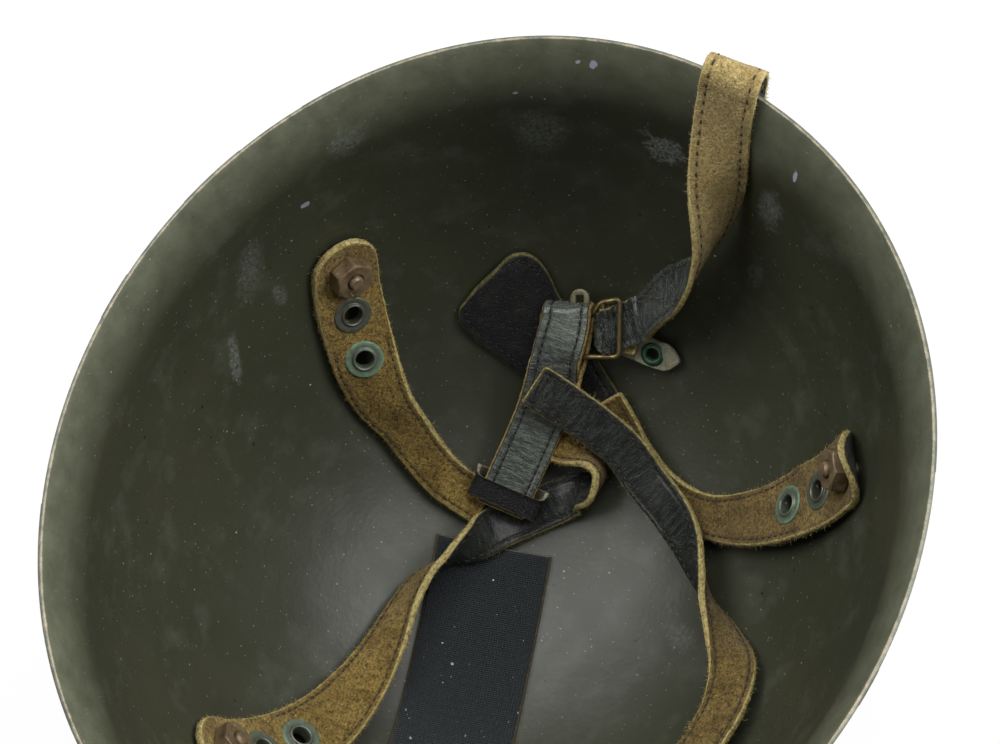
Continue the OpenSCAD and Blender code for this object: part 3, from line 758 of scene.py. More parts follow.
BLACK_THREAD = Thread("black_thread", srgb(10, 11, 10), srgb(34, 36, 32))
BRASS = Metal("aged_brass", srgb(134, 120, 84), srgb(58, 50, 32), rough=0.34, grime=0.6)
EAR_METAL = Metal("ear_brass", srgb(140, 136, 108), srgb(76, 70, 48), rough=0.4, metallic=0.7, grime=0.6)
GUNMETAL = Metal("eyelet_gunmetal", srgb(104, 104, 92), srgb(46, 48, 44), srgb(96, 132, 106), rough=0.34, metallic=0.7)
TAB_METAL = Metal("tab_eyelet_metal", srgb(96, 104, 88), srgb(20, 40, 32), srgb(44, 92, 70), grime=0.8)
LACQUER = Lacquer("brown_lacquer")
WEBBING = Webbing("ribbed_webbing")
BACKING = Cloth("backing_cloth")
PAINT = ShellPaint(
    "olive_paint",
    rubs=(Mark((-41.3, 122, 120.3), (9, 8, 13), 0.26, 0.6), Mark((-2, 131, 119.9), (9, 6, 10), 0.75, 0.3),
          Mark((-9, 129, 127), (4, 4, 6), 0.6, 0.3), Mark((36.4, 124, 120.1), (6, 6, 13), 0.34, 0.4),
          Mark((35.5, 116.6, 87), (4, 4, 7), 0.2, 0.5), Mark((-105.7, 22.6, 89), (4, 3, 14), 0.36, 0.5, (0.4, 0, 0)),
          Mark((-106.3, 43.6, 114.9), (4, 7, 14), 0.2, 0.6, (0.5, 0, 0)),
          Mark((-100.9, 47.1, 94), (4, 3, 6), 0.22, 0.5), Mark((-89, 85, 141), (6, 7, 7), 0.22, 0.6),
          Mark((53.4, 16, 14), (9, 5, 7), 0.16, 0.6, (0, 0, 0.4))),
    chips=(Mark((-26.9, 133.5, 152), (1.8, 3, 2.4), 0.8, 0.12), Mark((-31.4, 132.4, 152.6), (1.2, 3, 1.2), 0.75, 0.12),
           Mark((-97.5, 67.6, 123.3), (3, 3, 1.8), 0.55, 0.12, (0.5, 0, 0.6)),
           Mark((-48.2, 121.1, 140.6), (1.3, 3, 0.8), 0.5, 0.15), Mark((43.2, 125, 145.3), (1.1, 3, 4.4), 0.9, 0.15)))


def show(name: str, data: Any) -> bpy.types.Object:
    """An object of some data, put into the scene."""
    obj = bpy.data.objects.new(name, data)
    bpy.context.scene.collection.objects.link(obj)
    return obj


def as_mesh(name: str, bm: BMesh) -> bpy.types.Mesh:
    """A mesh of a shape, which is freed."""
    mesh = bpy.data.meshes.new(name)
    bm.to_mesh(mesh)
    bm.free()
    return mesh


def finish_piece(name: str, bm: BMesh, finishes: Sequence[Finish], node: str, slot: str,
                 body: str = "root", scale: float = MM, flat_faces: bool = False) -> bpy.types.Object:
    """Turns a shape into a piece of the object.

    Args:
        name: the piece's name.
        bm: the shape, which is freed.
        finishes: one finish for each material number.
        node: the CAD node it stands for.
        slot: the record's material slot; not used.
        body: the body it rides on.
        scale: metres for each unit of the shape.
        flat_faces: whether its faces stay flat shaded.

    Returns:
        The piece's object.
    """
    bmesh.ops.scale(bm, vec=(scale,) * 3, verts=bm.verts)
    mesh = as_mesh(name, bm)
    if not flat_faces:
        mesh.polygons.foreach_set("use_smooth", [True] * len(mesh.polygons))
        mesh.update()
    obj = show(name, mesh)
    for finish in finishes:
        mesh.materials.append(finish.material())
    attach(obj, body)
    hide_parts(node)
    LOG.info("%s: %d faces", name, len(mesh.polygons))
    return obj


def sweep(lines: Sequence[Line], depth: float, fineness: int, closed: int = 0) -> bpy.types.Mesh:
    """Round strands along lines.

    Args:
        lines: points, with their radius as a share of the depth.
        depth: radius of a strand of share one.
        fineness: bevel resolution of the strands.
        closed: how many of the first lines are rings.

    Returns:
        Their mesh, which its user removes.
    """
    curve = bpy.data.curves.new("strands", "CURVE")
    curve.dimensions, curve.bevel_depth, curve.bevel_resolution, curve.use_fill_caps = "3D", depth, fineness, True
    for k, line in enumerate(lines):
        spline = curve.splines.new("POLY")
        spline.points.add(len(line) - 1)
        spline.use_cyclic_u = k < closed
        for point, (x, y, z, r) in zip(spline.points, line):
            point.co, point.radius = (x, y, z, 1), r
    carrier = bpy.data.objects.new("strands", curve)
    mesh = bpy.data.meshes.new_from_object(carrier)
    bpy.data.objects.remove(carrier)
    bpy.data.curves.remove(curve)
    return mesh


def add_tubes(bm: BMesh, lines: Sequence[Line], number: int, fineness: int) -> None:
    """Adds round strands of a material number along lines to a shape."""
    if lines:
        mesh = sweep(lines, 1.0, fineness)
        before = len(bm.faces)
        bm.from_mesh(mesh)
        bpy.data.meshes.remove(mesh)
        bm.faces.ensure_lookup_table()
        for face in bm.faces[before:]:
            face.material_index, face.smooth = number, True


def extrude(bm: BMesh) -> set[bmesh.types.BMVert]:
    """Gives a sheet its second face and says which vertices are new."""
    grown = bmesh.ops.extrude_face_region(bm, geom=list(bm.faces), use_keep_orig=True)["geom"]
    return {g for g in grown if isinstance(g, bmesh.types.BMVert)}


def drop(bm: BMesh, within: Callable[[Vector], bool]) -> None:
    """Deletes the faces whose middles a test holds for."""
    inside = [f for f in bm.faces if within(f.calc_center_median())]
    bmesh.ops.delete(bm, geom=inside, context="FACES")


def keep_flat(bm: BMesh) -> None:
    """Keeps the places on the flat cut as a UV map."""
    uv = bm.loops.layers.uv.new("flat")
    for f in bm.faces:
        for loop in f.loops:
            loop[uv].uv = (loop.vert.co.x, loop.vert.co.y)


def hoop(bm: BMesh, count: int, spot: Callable[[float], Sequence[float]]) -> list[bmesh.types.BMEdge]:
    """A ring of edges whose vertices lie where a function of their angle says."""
    made = bmesh.ops.create_circle(bm, segments=count, radius=1.0)["verts"]
    for v in made:
        v.co = spot(math.atan2(v.co.y, v.co.x))
    return list({e for v in made for e in v.link_edges})


def spin(bm: BMesh, profile: Sequence[tuple[float, float]], steps: int, closed: bool = True) -> None:
    """Spins a profile of radius and height round Z."""
    line = [bm.verts.new((r, 0, z)) for r, z in profile]
    edges = [bm.edges.new(pair) for pair in zip(line, line[1:] + line[:closed])]
    bmesh.ops.spin(bm, geom=line + edges, cent=(0, 0, 0), axis=(0, 0, 1), angle=math.tau, steps=steps, use_merge=True)


def add_ring(bm: BMesh, profile: Sequence[tuple[float, float]], steps: int, matrix: Matrix) -> list[bmesh.types.BMVert]:
    """Adds a ring of a closed profile where a matrix says and gives its vertices."""
    before = set(bm.verts)
    spin(bm, profile, steps)
    made = [v for v in bm.verts if v not in before]
    bmesh.ops.transform(bm, matrix=matrix, verts=made)
    bmesh.ops.recalc_face_normals(bm, faces=list({f for v in made for f in v.link_faces}))
    return made


def axes(x: Sequence[float], y: Sequence[float], z: Sequence[float], place: Sequence[float]) -> Matrix:
    """A matrix whose columns are three axes and a place."""
    return Matrix([[float(column[i]) for column in (x, y, z, place)] for i in range(3)] + [[0, 0, 0, 1]])


def upright(point: np.ndarray, normal: np.ndarray, travel: np.ndarray) -> Matrix:
    """A matrix at a point with Z along the normal and Y along the travel."""
    z = unit(normal)
    y = unit(travel - (travel @ z) * z)
    return axes(np.cross(y, z), y, z, point)


class Side(Enum):
    """A face of the leather."""

    FRONT = 1
    BACK = -1


@dataclass(frozen=True)
class Seam:
    """A row of stitches along a path of across and along places, in millimetres."""

    path: tuple[tuple[float, float], ...]
    side: Side
    pitch: float = 2.9
    length: float = 1.7
    radius: float = 0.33


EDGE_ROUND = 2.4
DOME_ROUND = 2.6
CURL_ROUND = 2.6
COLUMN_EASE = 1.25
GROOVE_WIDTH = 0.5
END_EASE = [1 - math.sin(a) for a in np.linspace(0, 1.3, 4)[1:]]
ROUND_END = np.arange(4, 88, 4.5)
STITCH_STEPS = np.array([-0.5, -0.3, 0.0, 0.3, 0.5])
STITCH_SINK = np.array([-0.45, -0.05, 0.06, -0.05, -0.45])
STITCH_TAPER = np.array([0.6, 0.95, 1.0, 0.95, 0.6])
SLOT_CLEAR = 1.2
LIP_NARROW = 0.68
LIP_REACH = 1.8
FIBRE = ((0.0, 0.06), (0.5, 0.045), (1.0, 0.012))


@dataclass
class Strap:
    """A strap cut flat from leather, holed, given its thickness and laid along its route, in millimetres.

    Holes have an across and an along place and a radius, slots four limits, painted highlights (places whose grain
    is lightened in colour to stand in for the sheen of the light) a length, a reach and a weight, and the stain a
    place and a reach. The groove of the stitches is pressed in from the edge, the bow rounds the raw edge and the fray
    roughens it. The lean is the way in which a loop narrows to its lip.
    """

    name: str
    node: str
    route: Route
    finishes: tuple[Finish, ...]
    slot: str
    thick: float = 2.8
    body: str = "root"
    round_start: bool = False
    corner: float = 0.8
    start_corner: float = 0.8
    holes: tuple[tuple[float, float, float], ...] = ()
    slots: tuple[tuple[float, float, float, float], ...] = ()
    seams: tuple[Seam, ...] = ()
    groove: float = 0.22
    groove_in: float = 2.1
    groove_from: float = 0.0
    curl: float = 0.0
    fray: float = 0.16
    wave: float = 0.28
    dome: float = 0.0
    bow: float = 0.6
    cell: float = 0.72
    stain: tuple[float, float, float] | None = None
    painted_highlight: tuple[tuple[float, float, float], ...] = ()
    fuzz: float = 0.0
    seed: int = 1
    lip: float = 0.0
    lip_side: float = 1.0
    lean: tuple[float, float, float] | None = None
    skip: float = 0.0
    trim: float = 0.0

    @property
    def first(self) -> float:
        """Where the leather starts along its route."""
        return -float(self.route.width[0]) / 2 if self.round_start else self.skip

    @property
    def last(self) -> float:
        """Where the leather ends along its route."""
        return self.route.length - self.trim

    def half(self, s: np.ndarray) -> np.ndarray:
        """Half width at lengths, with the ends rounded."""
        def cornered(w: np.ndarray, corner: float, left: np.ndarray) -> np.ndarray:
            """Half widths with a rounded corner where little length is left."""
            return w - corner + np.sqrt(corner ** 2 - np.clip(corner - left, 0, corner) ** 2)

        s = np.asarray(s, float)
        w = np.interp(s, self.route.run, self.route.width) / 2
        if self.round_start:
            w = np.where(s < 0, np.sqrt(np.maximum(self.first * self.first - np.minimum(s, 0) ** 2, 0.0)), w)
        else:
            w = cornered(w, self.start_corner, s - self.skip)
        return cornered(w, self.corner, self.last - s)

    def rows(self) -> np.ndarray:
        """Lengths of the rows of the cut."""
        if self.round_start:
            starts = [self.first * math.cos(math.radians(a)) for a in ROUND_END]
        else:
            starts = [self.skip + self.start_corner * e for e in END_EASE]
        body = np.linspace(self.skip, self.last, max(8, int(self.route.length / self.cell)))
        return np.unique(np.concatenate([starts, body, [self.last - self.corner * e for e in END_EASE]]))

    def margin(self, a: float, s: float, half: float) -> float:
        """Distance from a place to the nearest long edge or rounded end."""
        if s < 0:
            return max(0.0, -self.first - math.hypot(a, s))
        return max(0.0, min(half - abs(a), self.last - s))

    def domed(self, share: Any) -> Any:
        """Height of the dome at shares of the half width."""
        return self.dome * (1 - np.minimum(1.0, share) ** DOME_ROUND)

    def sheet(self, bm: BMesh) -> None:
        """Grids the lower face and opens its holes and slots."""
        rows = self.rows()
        halves = self.half(rows)
        nx, ny = max(8, int(halves.max() * 2 / self.cell)), len(rows) - 1
        k = np.linspace(-1, 1, nx + 1)
        cols = np.sign(k) * (1 - (1 - np.abs(k)) ** COLUMN_EASE)
        bmesh.ops.create_grid(bm, x_segments=nx, y_segments=ny, size=1.0)
        for v in bm.verts:
            i, j = round((v.co.x + 1) / 2 * nx), round((v.co.y + 1) / 2 * ny)
            v.co = (cols[i] * max(0.2, halves[j] - self.bow), rows[j], -self.thick / 2)
        for x, y, r in self.holes:
            drop(bm, lambda c: math.hypot(c.x - x, c.y - y) < r)
            for v in bm.verts:
                if v.is_boundary and abs(math.hypot(v.co.x - x, v.co.y - y) - r) < self.cell * 1.2:
                    d = Vector((v.co.x - x, v.co.y - y, 0)).normalized() * r
                    v.co.x, v.co.y = x + d.x, y + d.y
        for x0, x1, y0, y1 in self.slots:
            drop(bm, lambda c: x0 < c.x < x1 and y0 < c.y < y1)

    def cut(self) -> BMesh:
        """The flat cut with thickness: X across, Y along, Z through the leather."""
        bm = bmesh.new()
        self.sheet(bm)
        out = bm.verts.layers.float_vector.new("out")
        for e in bm.edges:
            if e.is_boundary:
                a, b = (v.co for v in e.verts)
                n = Vector((b.y - a.y, a.x - b.x, 0)).normalized()
                if n.dot((a + b) / 2 - e.link_faces[0].calc_center_median()) < 0:
                    n = -n
                for v in e.verts:
                    v[out] = Vector(v[out]) + n
        fresh = extrude(bm)
        for v in fresh:
            v.co.z = self.thick / 2
        rise = [e for e in bm.edges if (e.verts[0] in fresh) != (e.verts[1] in fresh)]
        bmesh.ops.subdivide_edges(bm, edges=rise, cuts=4)
        top = self.thick / 2 - 1e-4
        for f in bm.faces:
            zs = [v.co.z for v in f.verts]
            f.material_index = 0 if min(zs) > top else 1 if max(zs) < -top else 2
        keep_flat(bm)
        self.press(bm, out, top)
        return bm

    def press(self, bm: BMesh, out: Any, top: float) -> None:
        """Keeps what the finishes need on the vertices, presses the groove and rounds the raw edge.

        Args:
            bm: the flat cut.
            out: the layer of the directions out of the raw edge.
            top: the height from which a vertex is on a face.
        """
        labels = ("depth", "margin", "press", "stain", "painted_highlight")
        depth, margin, press, stain, painted_highlight = [bm.verts.layers.float.new(label) for label in labels]
        verts = list(bm.verts)
        for v, h in zip(verts, self.half(np.array([v.co.y for v in verts])).tolist()):
            x, y, side = v.co.x, v.co.y, v.co.z / (self.thick / 2)
            face = abs(v.co.z) > top
            v[depth] = side
            v[margin] = self.margin(x, y, h) if face else 0.0
            # painted highlight: how far the grain's colour is lightened here, standing in for the sheen of the light
            v[painted_highlight] = sum(w * math.exp(-((y - q) / r) ** 2) for q, r, w in self.painted_highlight)
            if self.stain:
                far = math.hypot(x - self.stain[0], y - self.stain[1])
                v[stain] = max(0.0, min(1.0, 1.6 - far / self.stain[2]))
            if not face:
                rough = wobble(v.co, 0.9) + 0.6 * wobble(v.co, 2.3)
                round_out = self.bow * (1 - abs(side) ** EDGE_ROUND) ** 0.5
                v.co += Vector(v[out]).normalized() * (round_out + self.fray * rough)
                continue
            if self.groove and y > self.groove_from:
                # the groove's dip also darkens the face colour through the press value, as painted shade in the groove
                v[press] = dip = math.exp(-((h - abs(x) - self.groove_in) / GROOVE_WIDTH) ** 2)
                v.co.z -= math.copysign(self.groove * dip, side)
            if side > 0 and self.dome:
                v.co.z += float(self.domed(abs(x) / h))

    def lay(self, a: np.ndarray, s: np.ndarray, z: np.ndarray) -> np.ndarray:
        """Places of the flat cut as places in the helmet, in millimetres."""
        p, across, normal, _ = self.route.at(s)
        a = np.asarray(a, float)
        bend = self.curl * (np.abs(np.minimum(s, 0)) / (abs(self.first) or 1.0)) ** CURL_ROUND
        if self.lean:
            narrow = 1 - LIP_NARROW * np.clip(normal @ np.array(self.lean), 0, 1)
            a = np.where(a * self.lip_side > 0, a * narrow, a)
            edge = float(self.route.width[0]) / 2 * narrow
            bend = bend + self.lip * (np.maximum(0.0, a * self.lip_side - edge + LIP_REACH) / LIP_REACH) ** 2
        return p + across * a[..., None] + normal * (np.asarray(z) + bend)[..., None]

    def stitches(self, seam: Seam) -> list[Line]:
        """Lines of the thread of one row of stitches, with a radius at each point.

        Args:
            seam: the row.

        Returns:
            One short line for each stitch.
        """
        path = np.asarray(seam.path, float)
        run = np.concatenate([[0], np.cumsum(np.linalg.norm(np.diff(path, axis=0), axis=1))])
        at = np.arange(seam.pitch / 2, run[-1], seam.pitch)[:, None] + STITCH_STEPS * seam.length
        a, s = (np.interp(at, run, path[:, k]) for k in range(2))
        for x0, x1, y0, y1 in self.slots:
            near = (a > x0 - SLOT_CLEAR) & (a < x1 + SLOT_CLEAR) & (s > y0 - SLOT_CLEAR) & (s < y1 + SLOT_CLEAR)
            a, s = a[~near.any(axis=1)], s[~near.any(axis=1)]
        sign = seam.side.value
        level = sign * (self.thick / 2 - self.groove * 0.5) + STITCH_SINK * sign + np.zeros_like(a)
        if self.dome and sign > 0:
            level = level + self.domed(np.abs(a) / self.half(s))
        size = STITCH_TAPER * seam.radius
        return [[(*p, float(r)) for p, r in zip(line, size)] for line in self.lay(a, s, level)]

    def fibres(self) -> list[Line]:
        """Short loose fibres that stand out of the raw edges."""
        rng = np.random.default_rng(self.seed)
        count = int(self.fuzz * self.route.length)
        s = rng.uniform(self.first * 0.9, self.route.length - 1, count)
        side = np.where(rng.random(count) < 0.5, -1.0, 1.0)
        root = side * (self.half(s) - 0.15)
        z = rng.uniform(-0.9, 0.95, count) * self.thick / 2
        long = rng.gamma(2.2, 0.24, count)
        lean, rise = rng.normal(0, 0.5, count), rng.normal(0.1, 0.45, count)
        laid = [self.lay(root + side * long * f, s + long * lean * f * f, z + long * rise * f) for f, _ in FIBRE]
        return [[(*p, r) for p, (_, r) in zip(points, FIBRE)] for points in zip(*laid)]

    def build(self) -> bpy.types.Object:
        """Cuts, lays, sews and finishes the strap."""
        bm = self.cut()
        verts = list(bm.verts)
        co = np.array([v.co for v in verts])
        laid = self.lay(co[:, 0], co[:, 1], co[:, 2])
        for v, p, n in zip(verts, laid, self.route.at(co[:, 1])[2]):
            q = Vector(p)
            v.co = q + Vector(n) * (self.wave * wobble(q, 0.11) + 0.05 * wobble(q, 1.3))
        bmesh.ops.recalc_face_normals(bm, faces=bm.faces)
        thread = [line for seam in self.seams for line in self.stitches(seam)]
        add_tubes(bm, thread, len(self.finishes) - 1, 2)
        if self.fuzz:
            add_tubes(bm, self.fibres(), 2, 0)
        return finish_piece(self.name, bm, self.finishes, self.node, self.slot, self.body)


def edge_seams(route: Route, inset: float, start: float, stop: float, sides: Sequence[Side],
               pitch: float = 2.9, length: float = 1.7) -> tuple[Seam, ...]:
    """Stitch rows along both edges of a strap.

    Args:
        route: the strap's route.
        inset: distance from the edges.
        start: where the rows start.
        stop: where they stop.
        sides: the faces that show them.
        pitch: distance between stitches.
        length: length of a stitch.

    Returns:
        The seams.
    """
    s = np.arange(start, stop, 1.5)
    line = np.interp(s, route.run, route.width) / 2 - inset
    paths = [tuple(zip((sign * line).tolist(), s.tolist())) for sign in (-1, 1)]
    return tuple(Seam(path, side, pitch, length) for path in paths for side in sides)


EYELETS = (17.0, 34.0)
BOLT_HOLE = 2.8
EYELET_HOLE = 3.7


@dataclass
class Leg:
    """A harness leg: rows of shares, lift, turn and width, with a bolt hole and two spare eyelets."""

    name: str
    rows: Rows
    curl: float
    extra: tuple[Seam, ...]
    trim: float
    suede: Finish

    def build(self) -> Route:
        """Builds the leg and gives its route back."""
        route = Route.on_bowl(self.rows)
        seams = edge_seams(route, 2.1, 30.0, route.length - self.trim - 1.5, (Side.FRONT, Side.BACK))
        Strap(f"{self.name}_leg_leather", f"{self.name}_strap", route, (self.suede, GRAIN, LEG_EDGE, THREAD),
              "suede_leather", round_start=True, seams=seams + self.extra, groove_from=28.0, curl=self.curl,
              holes=((0, 0, BOLT_HOLE), *((0, place, EYELET_HOLE) for place in EYELETS)),
              trim=self.trim, fray=0.24, fuzz=9.0, seed=len(self.name)).build()
        return route


def ring_profile(bore: float, outer: float, half: float) -> list[tuple[float, float]]:
    """Profile of a pressed eyelet with a rolled upper lip and a flat flange, in millimetres."""
    b, o = bore / 2, outer / 2
    turns = [math.pi * k / 8 for k in range(9)]
    lip = [(b + 0.75 - 0.55 * math.cos(a), 0.35 + 0.7 * math.sin(a)) for a in turns]
    flange = [(b + 1.65, 0.3), (b + 2.1, 0.46), (o - 1.1, 0.36), (o - 0.35, 0.5), (o, 0.22), (o - 0.08, -0.15),
              (o - 0.5, -0.2), (o - 1.2, -0.3), (b + 0.75, -0.3)]
    under = [(b + 0.75, 0.3), (o - 1.2, 0.3), (o - 0.5, 0.2), (o, 0.0), (o - 0.5, -0.45), (b + 1.2, -0.5),
             (b + 0.5, -0.6), (b + 0.2, -0.2)]
    return [(r, half + z) for r, z in lip + flange] + [(r, z - half) for r, z in under]


@dataclass
class Eyelets:
    """The pressed eyelets of one strap and how green each is."""

    name: str
    node: str
    route: Route
    places: tuple[float, ...]
    greens: tuple[float, ...]
    bore: float = 5.6
    outer: float = 13.0
    thick: float = 2.8
    body: float = 0.3
    finish: Finish = GUNMETAL

    def build(self) -> None:
        """Spins the rings, with the most tarnish at their outer edge."""
        bm = bmesh.new()
        green = bm.verts.layers.float.new("green")
        profile = ring_profile(self.bore, self.outer, self.thick / 2)
        for place, share in zip(self.places, self.greens):
            p, a, n, _ = self.route.at(np.array(place))
            for v in add_ring(bm, profile, 56, upright(p, n, np.cross(n, a))):
                far = (Vector(p) - v.co).length
                v[green] = share * min(1.0, self.body + math.exp(-((far - self.outer / 2) / 0.8) ** 2))
        finish_piece(self.name, bm, (self.finish,), self.node, "eyelet_metal")


@dataclass
class Nut:
    """A tall hexagon nut with chamfered corners and a threaded bore."""

    name: str
    anchor: tuple[float, float]
    spin: float
    flats: float = 12.5
    high: float = 5.5
    bore: float = 2.6
    seat: float = 4.2
    count: int = 72

    def levels(self) -> list[tuple[np.ndarray, np.ndarray]]:
        """Radii and heights of the rings from the foot round to the bore."""
        turn = np.arange(self.count) * 360 / self.count
        hexed = self.flats / 2 / np.cos(np.radians(30 - np.abs(30 - turn % 60)))
        rim = self.flats / 2 - 0.25
        wide = np.minimum(hexed, self.flats / 2 / math.cos(math.radians(30)) - 0.06)
        past = np.maximum(0, hexed - rim)
        rings = [(np.minimum(hexed, rim), 0.0), (wide, 0.15 + 0.25 * past), (wide, self.high - 0.15 - 0.34 * past),
                 (np.minimum(hexed, rim), self.high), (self.bore + 0.7, self.high), (self.bore, self.high - 0.6),
                 (self.bore, 0.4), (self.bore + 0.5, 0.0)]
        return [(np.zeros(self.count) + radius, np.zeros(self.count) + level) for radius, level in rings]

    def build(self) -> None:
        """Bridges the rings and stands the nut on its leg."""
        bm = bmesh.new()
        loops = []
        for radius, level in self.levels():
            def spot(angle: float) -> tuple[float, float, float]:
                """The ring's place at an angle."""
                k = round(angle / math.tau * self.count) % self.count
                a = math.tau * k / self.count
                return radius[k] * math.cos(a), radius[k] * math.sin(a), level[k]
            loops.append(hoop(bm, self.count, spot))
        for a, b in zip(loops, loops[1:] + loops[:1]):
            bmesh.ops.bridge_loops(bm, edges=a + b)
        bmesh.ops.recalc_face_normals(bm, faces=bm.faces)
        x, y = self.anchor
        p = BOWL.spot(np.array(x), np.array(y), np.array(self.seat))
        n = BOWL.normal(np.array(x * BOWL.half_w), np.array(y * BOWL.half_l))
        place = upright(p, n, unit(np.cross(n, [0, 0, 1]))) @ Matrix.Rotation(math.radians(self.spin), 4, "Z")
        bmesh.ops.transform(bm, matrix=place, verts=bm.verts)
        obj = finish_piece(f"{self.name}_hex_nut", bm, (LACQUER,), f"{self.name}_nut", "lacquered_metal",
                           flat_faces=True)
        mod = obj.modifiers.new("edges", "BEVEL")
        mod.width, mod.segments, mod.limit_method, mod.angle_limit = 0.00012, 2, "ANGLE", math.radians(28)


@dataclass
class Shell:
    """The pressed steel bowl with its flared, worn rim."""

    steps: int = 224
    rings: int = 60
    curved: float = 0.6
    turn: float = math.radians(75)

    def section(self) -> list[tuple[float, float]]:
        """Share of the rim's outline and height of each ring, from the crown to the rim."""
        def bowl(angle: float) -> tuple[float, float]:
            """The ring at an angle from the crown."""
            e = 2 / BOWL.bow
            return (1 - BOWL.flare) * math.sin(angle) ** e, BOWL.wall + BOWL.depth * (1 - math.cos(angle) ** e)

        shares = [k / self.rings for k in range(self.rings + 1)]
        low = bowl(self.turn)[1]
        walls = [low + (BOWL.height - low) * (u - self.curved) / (1 - self.curved) for u in shares if u > self.curved]
        return ([bowl(u / self.curved * self.turn) for u in shares if u <= self.curved]
                + [(BOWL.share_at(z), z) for z in walls])

    def build(self) -> None:
        """Spins the section, dents it slightly, then gives it its wall."""
        bm = bmesh.new()
        spin(bm, self.section(), self.steps, closed=False)
        bmesh.ops.remove_doubles(bm, verts=bm.verts, dist=1e-5)
        bmesh.ops.scale(bm, vec=(BOWL.half_w, BOWL.half_l, 1), verts=bm.verts)
        bmesh.ops.recalc_face_normals(bm, faces=bm.faces)
        bm.normal_update()
        sample = max(bm.faces, key=lambda f: f.calc_center_median().z)
        middle = sample.calc_center_median()
        if sample.normal.dot(Vector((-middle.x, -middle.y, 0))) < 0:
            bmesh.ops.reverse_faces(bm, faces=bm.faces)
        bm.normal_update()
        for v in bm.verts:
            lip = max(0.0, (v.co.z - 150) / 10)
            v.co += v.normal * (0.28 * wobble(v.co, 0.028) + 0.1 * wobble(v.co, 0.09)) * (1 - 0.8 * lip)
        bmesh.ops.solidify(bm, geom=list(bm.faces), thickness=BOWL.wall)
        inner = bm.verts.layers.float.new("inner")
        bm.normal_update()
        for v in bm.verts:
            v[inner] = float(v.normal.dot(Vector((-v.co.x, -v.co.y, 120 - v.co.z))) > 0)
        rim = [e for e in bm.edges if all(v.co.z > BOWL.height - 0.6 for v in e.verts) and len(e.link_faces) == 2
               and e.link_faces[0].normal.angle(e.link_faces[1].normal, 0.0) > 0.9]
        bmesh.ops.bevel(bm, geom=rim, offset=0.35, segments=3, profile=0.5, affect="EDGES", material=-1)
        finish_piece("steel_shell", bm, (PAINT,), "shell", "shell_paint")


@dataclass
class Patch:
    """Ribbed webbing patch that follows the crown."""

    wide: float = 39.2
    long: float = 103.2
    inset: float = 0.4
    lift: float = 1.85
    thick: float = 1.75
    pitch: float = 0.95
    rib_depth: float = 0.26
    beat: float = 0.8
    start: tuple[float, float] = (-0.164, 0.163)
    way: tuple[float, float] = (0.24, -0.97)

    def build(self) -> None:
        """Grids the patch, ribs it along its length and turns its edges down."""
        bm = bmesh.new()
        bmesh.ops.create_grid(bm, x_segments=int(self.wide / self.pitch) * 6, y_segments=96, size=1.0)
        press = bm.verts.layers.float.new("press")
        for v in bm.verts:
            v.co = (v.co.x * self.wide / 2, (v.co.y + 1) / 2 * self.long, 0)
        keep_flat(bm)
        fresh = extrude(bm)
        verts = list(bm.verts)
        flat = np.array([v.co for v in verts])
        way = unit(np.array(self.way))
        base = np.array(self.start) * (BOWL.half_w, BOWL.half_l) + way * self.inset
        x, y = (base + flat[:, :1] * np.array([-way[1], way[0]]) + flat[:, 1:2] * way).T
        n = BOWL.normal(x, y)
        ground = np.stack([x, y, BOWL.z(x, y)], -1)
        dip = 0.5 - 0.5 * np.cos(flat[:, 0] / self.pitch * math.tau)
        edge = np.minimum(np.minimum(self.wide / 2 - np.abs(flat[:, 0]), flat[:, 1]), self.long - flat[:, 1])
        for i, v in enumerate(verts):
            lift = self.lift
            if v in fresh:
                roll = 0.5 * math.exp(-(edge[i] / 0.5) ** 2)
                beat = 0.05 * math.cos(flat[i, 1] / self.beat * math.tau)
                lift += self.thick - self.rib_depth * dip[i] - roll + beat + 0.35 * wobble(Vector(flat[i]), 0.05)
                # painted shade: the rib valleys darken the webbing's colour through this press value
                v[press] = dip[i] ** 1.5
            v.co = ground[i] + n[i] * lift
        bmesh.ops.recalc_face_normals(bm, faces=bm.faces)
        finish_piece("ribbed_crown_patch", bm, (WEBBING,), "crown_patch", "webbing")


